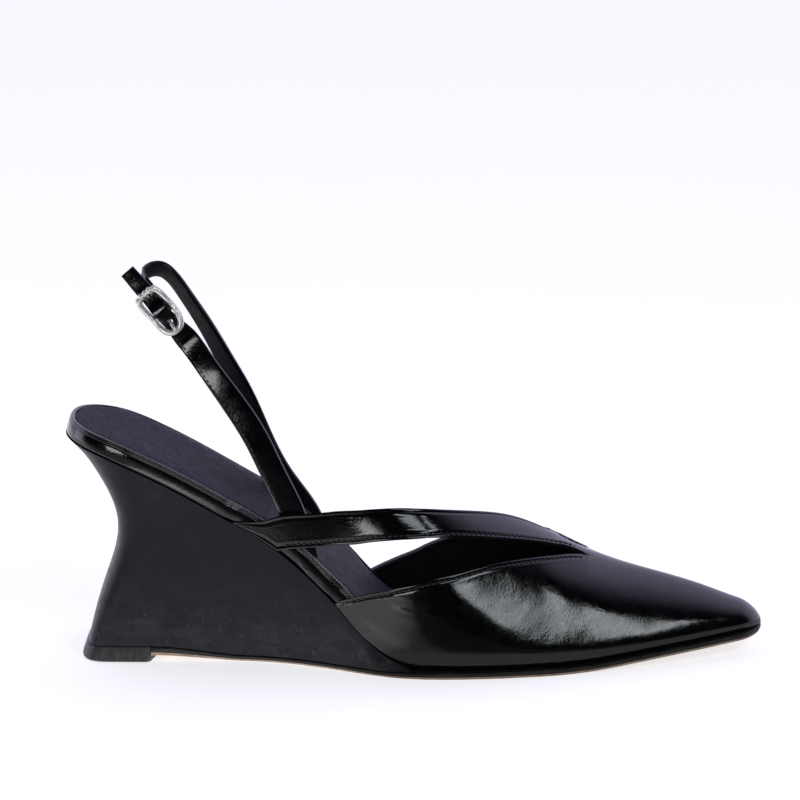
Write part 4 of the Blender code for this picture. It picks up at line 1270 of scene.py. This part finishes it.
def tan_leather():
    n = Nodes("tan_sole_leather")
    fibres = n.noise(420, 5, 0.65, stretch=(0.5, 1.0, 1.0))
    tone = n.mix(n.ramp(fibres, 0.3, 0.72), (0.30, 0.215, 0.150), (0.48, 0.365, 0.270))
    mottle = n.mix(n.ramp(n.noise(60, 5, 0.7), 0.5, 0.75), tone, (0.20, 0.145, 0.105))
    return n.finish(mottle, n.ramp(fibres, 0.3, 0.7, 0.5, 0.68), n.bump(fibres, 0.10 * MM, 0.6), IOR=1.44)


def lift_plastic():
    n = Nodes("lift_plastic")
    scuffs = n.noise(600, 5, 0.7, stretch=(1.0, 1.0, 0.12))
    tone = n.mix(n.ramp(scuffs, 0.4, 0.75), (0.034, 0.034, 0.035), (0.075, 0.075, 0.076))
    rough = n.ramp(n.noise(700, 4, 0.6), 0.3, 0.7, 0.42, 0.60)
    return n.finish(tone, rough, n.bump(n.noise(1500, 3, 0.6), 0.04 * MM, 0.7), IOR=1.49)


def silver():
    n = Nodes("silver")
    tone = n.mix(n.ramp(n.noise(350, 4, 0.6), 0.35, 0.75), (0.95, 0.935, 0.915), (0.80, 0.78, 0.755))
    rough = n.ramp(n.noise(900, 5, 0.7), 0.35, 0.75, 0.22, 0.36)
    return n.finish(tone, rough, n.bump(n.noise(1100, 3, 0.6), 0.01 * MM, 0.5), Metallic=0.55)


def thread_black():
    n = Nodes("thread")
    ply = n.noise(2600, 2, 0.5, stretch=(1.0, 1.0, 2.0))
    tone = n.mix(n.ramp(ply, 0.35, 0.7), (0.008, 0.008, 0.009), (0.035, 0.034, 0.036))
    return n.finish(tone, n.ramp(ply, 0.3, 0.7, 0.35, 0.55), n.bump(ply, 0.05 * MM, 0.8), IOR=1.5)


def white_floor():
    """White to the camera. To other rays it is dark and glows in a painted pattern, bright at the left and
    dim on the shoe's near side, with one glowing spot: painted reflections for the gloss.
    """
    n = Nodes("studio_floor")
    paper = n.mix(n.noise(3, 2, 0.5), (0.90, 0.895, 0.91), (0.93, 0.925, 0.935))
    # The glow that reflected rays see is painted light: bright at the left, a strip beside the shoe, and one
    # glowing spot.
    away = n.math("MULTIPLY", n.height("Y"), -1.0)
    slant = n.math("ADD", n.height("X"), n.math("MULTIPLY", away, 0.36))
    left = n.ramp(slant, -0.022, 0.014, 1.0, 0.0)
    reach = n.ramp(away, 0.145, 0.235, 1.0, 0.25)
    strip = n.ramp(away, 0.055, 0.085, 0.40, 0.02)
    glint = n.add("ShaderNodeVectorMath", operation="DISTANCE")
    n.link(n.coords, glint.inputs[0])
    glint.inputs[1].default_value = SPARK_PLACE
    spark = n.ramp(glint.outputs["Value"], 0.012, 0.045, 2.6, 0.0)
    near = n.math("ADD", n.math("MAXIMUM", n.math("MULTIPLY", left, reach), strip), spark)
    behind = n.ramp(n.height("Y"), 0.02, 0.10)
    mirrored = n.math("MAXIMUM", near, behind)
    seen = n.add("ShaderNodeLightPath").outputs["Is Camera Ray"]
    tone = n.mix(seen, (0.05, 0.05, 0.055), paper)
    unseen = n.math("SUBTRACT", 1.0, seen)
    glow = n.math("ADD", n.math("MULTIPLY", seen, FLOOR_GLOW), n.math("MULTIPLY", unseen, mirrored))
    n.link(glow, n.shader.inputs["Emission Strength"])
    return n.finish(tone, 0.8, Specular_IOR_Level=0.15, Emission_Color=(0.985, 0.975, 1.0, 1.0))


# Studio

# Softboxes: azimuth, elevation, distance, size, power, colour and roll
LIGHTS = {
    "key": (41, 30, 1.25, (0.12, 1.06), 2.35, (0.90, 0.97, 1.0), 40),
    "band_key": (24, 43, 1.25, (0.56, 0.26), 1.8, (0.90, 0.97, 1.0), 0),
    "side_strip": (-30, 7, 1.3, (0.46, 0.26), 2.0, (1.0, 1.0, 1.0), 0),
    "back_left": (-98, 14, 1.3, (0.5, 0.8), 1.9, (0.82, 0.79, 1.0), 0),
}
LIGHT_AIM = (0.0, 0.0, 0.05)

CAMERA_PLACE = (-0.0013, -0.9603, 0.3356)
CAMERA_PITCH = 14.385
CAMERA_YAW = 0.272
CAMERA_LENS = 128.03

def make_floor():
    builder = bmesh.new()
    builder.faces.new([builder.verts.new((x, y, 0.0)) for x, y in FLOOR_CORNERS])
    floor = plain_object("floor", builder)
    floor.data.materials.append(white_floor())


def area_light(name, azimuth, elevation, distance, size, power, colour, roll):
    """A softbox: azimuth 0 is at the camera's side and 90 to its right; roll leans its top to the right."""
    light = bpy.data.lights.new(name, "AREA")
    light.shape = "RECTANGLE"
    light.size, light.size_y = size
    light.energy = power
    light.color = colour
    lamp = bpy.data.objects.new(name, light)
    a, e = math.radians(azimuth), math.radians(elevation)
    way = Vector((math.sin(a) * math.cos(e), -math.cos(a) * math.cos(e), math.sin(e)))
    lamp.location = Vector(LIGHT_AIM) + way * distance
    lean = Quaternion((0.0, 0.0, 1.0), math.radians(-roll))
    lamp.rotation_euler = (way.to_track_quat("Z", "Y") @ lean).to_euler()
    bpy.context.scene.collection.objects.link(lamp)


def make_world():
    """White behind the shoe, and a dark room on the camera's side for the gloss to mirror."""
    world = bpy.data.worlds.new("studio")
    bpy.context.scene.world = world
    world.use_nodes = True
    tree = world.node_tree
    tree.nodes.clear()
    link = tree.links.new
    coords = tree.nodes.new("ShaderNodeTexCoord")
    split = tree.nodes.new("ShaderNodeSeparateXYZ")
    link(coords.outputs["Generated"], split.inputs[0])
    sweep = tree.nodes.new("ShaderNodeMapRange")
    sweep.interpolation_type = "SMOOTHSTEP"
    link(split.outputs["Y"], sweep.inputs["Value"])
    for name, value in (("From Min", -0.15), ("From Max", 0.45), ("To Min", 0.012), ("To Max", 1.0)):
        sweep.inputs[name].default_value = value
    room = tree.nodes.new("ShaderNodeBackground")
    link(sweep.outputs["Result"], room.inputs["Strength"])
    room.inputs["Color"].default_value = (0.74, 0.72, 1.0, 1.0)
    white = tree.nodes.new("ShaderNodeBackground")
    white.inputs["Color"].default_value = (1.0, 1.0, 1.0, 1.0)
    white.inputs["Strength"].default_value = 1.05
    path = tree.nodes.new("ShaderNodeLightPath")
    either = tree.nodes.new("ShaderNodeMixShader")
    link(path.outputs["Is Camera Ray"], either.inputs[0])
    link(room.outputs[0], either.inputs[1])
    link(white.outputs[0], either.inputs[2])
    out = tree.nodes.new("ShaderNodeOutputWorld")
    link(either.outputs[0], out.inputs["Surface"])


def make_camera():
    data = bpy.data.cameras.new("camera")
    data.lens = CAMERA_LENS
    data.sensor_width = 36.0
    data.clip_start, data.clip_end = 0.05, 20.0
    camera = bpy.data.objects.new("camera", data)
    camera.location = CAMERA_PLACE
    camera.rotation_euler = (math.radians(90.0 - CAMERA_PITCH), 0.0, math.radians(CAMERA_YAW))
    bpy.context.scene.collection.objects.link(camera)
    bpy.context.scene.camera = camera


def main():
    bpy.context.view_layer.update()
    scene = bpy.context.scene
    scene.view_settings.view_transform = "Standard"
    scene.view_settings.look = "None"
    make_camera()
    make_world()
    make_floor()
    for name, settings in LIGHTS.items():
        area_light(name, *settings)
    polished, stitch = polished_leather(), thread_black()
    inner = lining_leather("upper_lining", (0.0030, 0.0030, 0.0036), (0.0075, 0.0075, 0.0090))
    make_lift_piece([lift_plastic()])
    make_outsole_piece([sole_edge(), tan_leather()])
    make_wedge_piece([satin_leather()])
    make_rand_piece([polished])
    make_sock_piece([lining_leather("lining_leather", (0.026, 0.027, 0.036), (0.044, 0.045, 0.058))])
    make_upper_piece([polished, inner, edge_paint()])
    make_upper_stitches([stitch])
    make_billet_piece([polished])
    make_billet_stitches([stitch])
    make_sling_piece([inner, polished])
    make_buckle_pieces([silver()])


main()
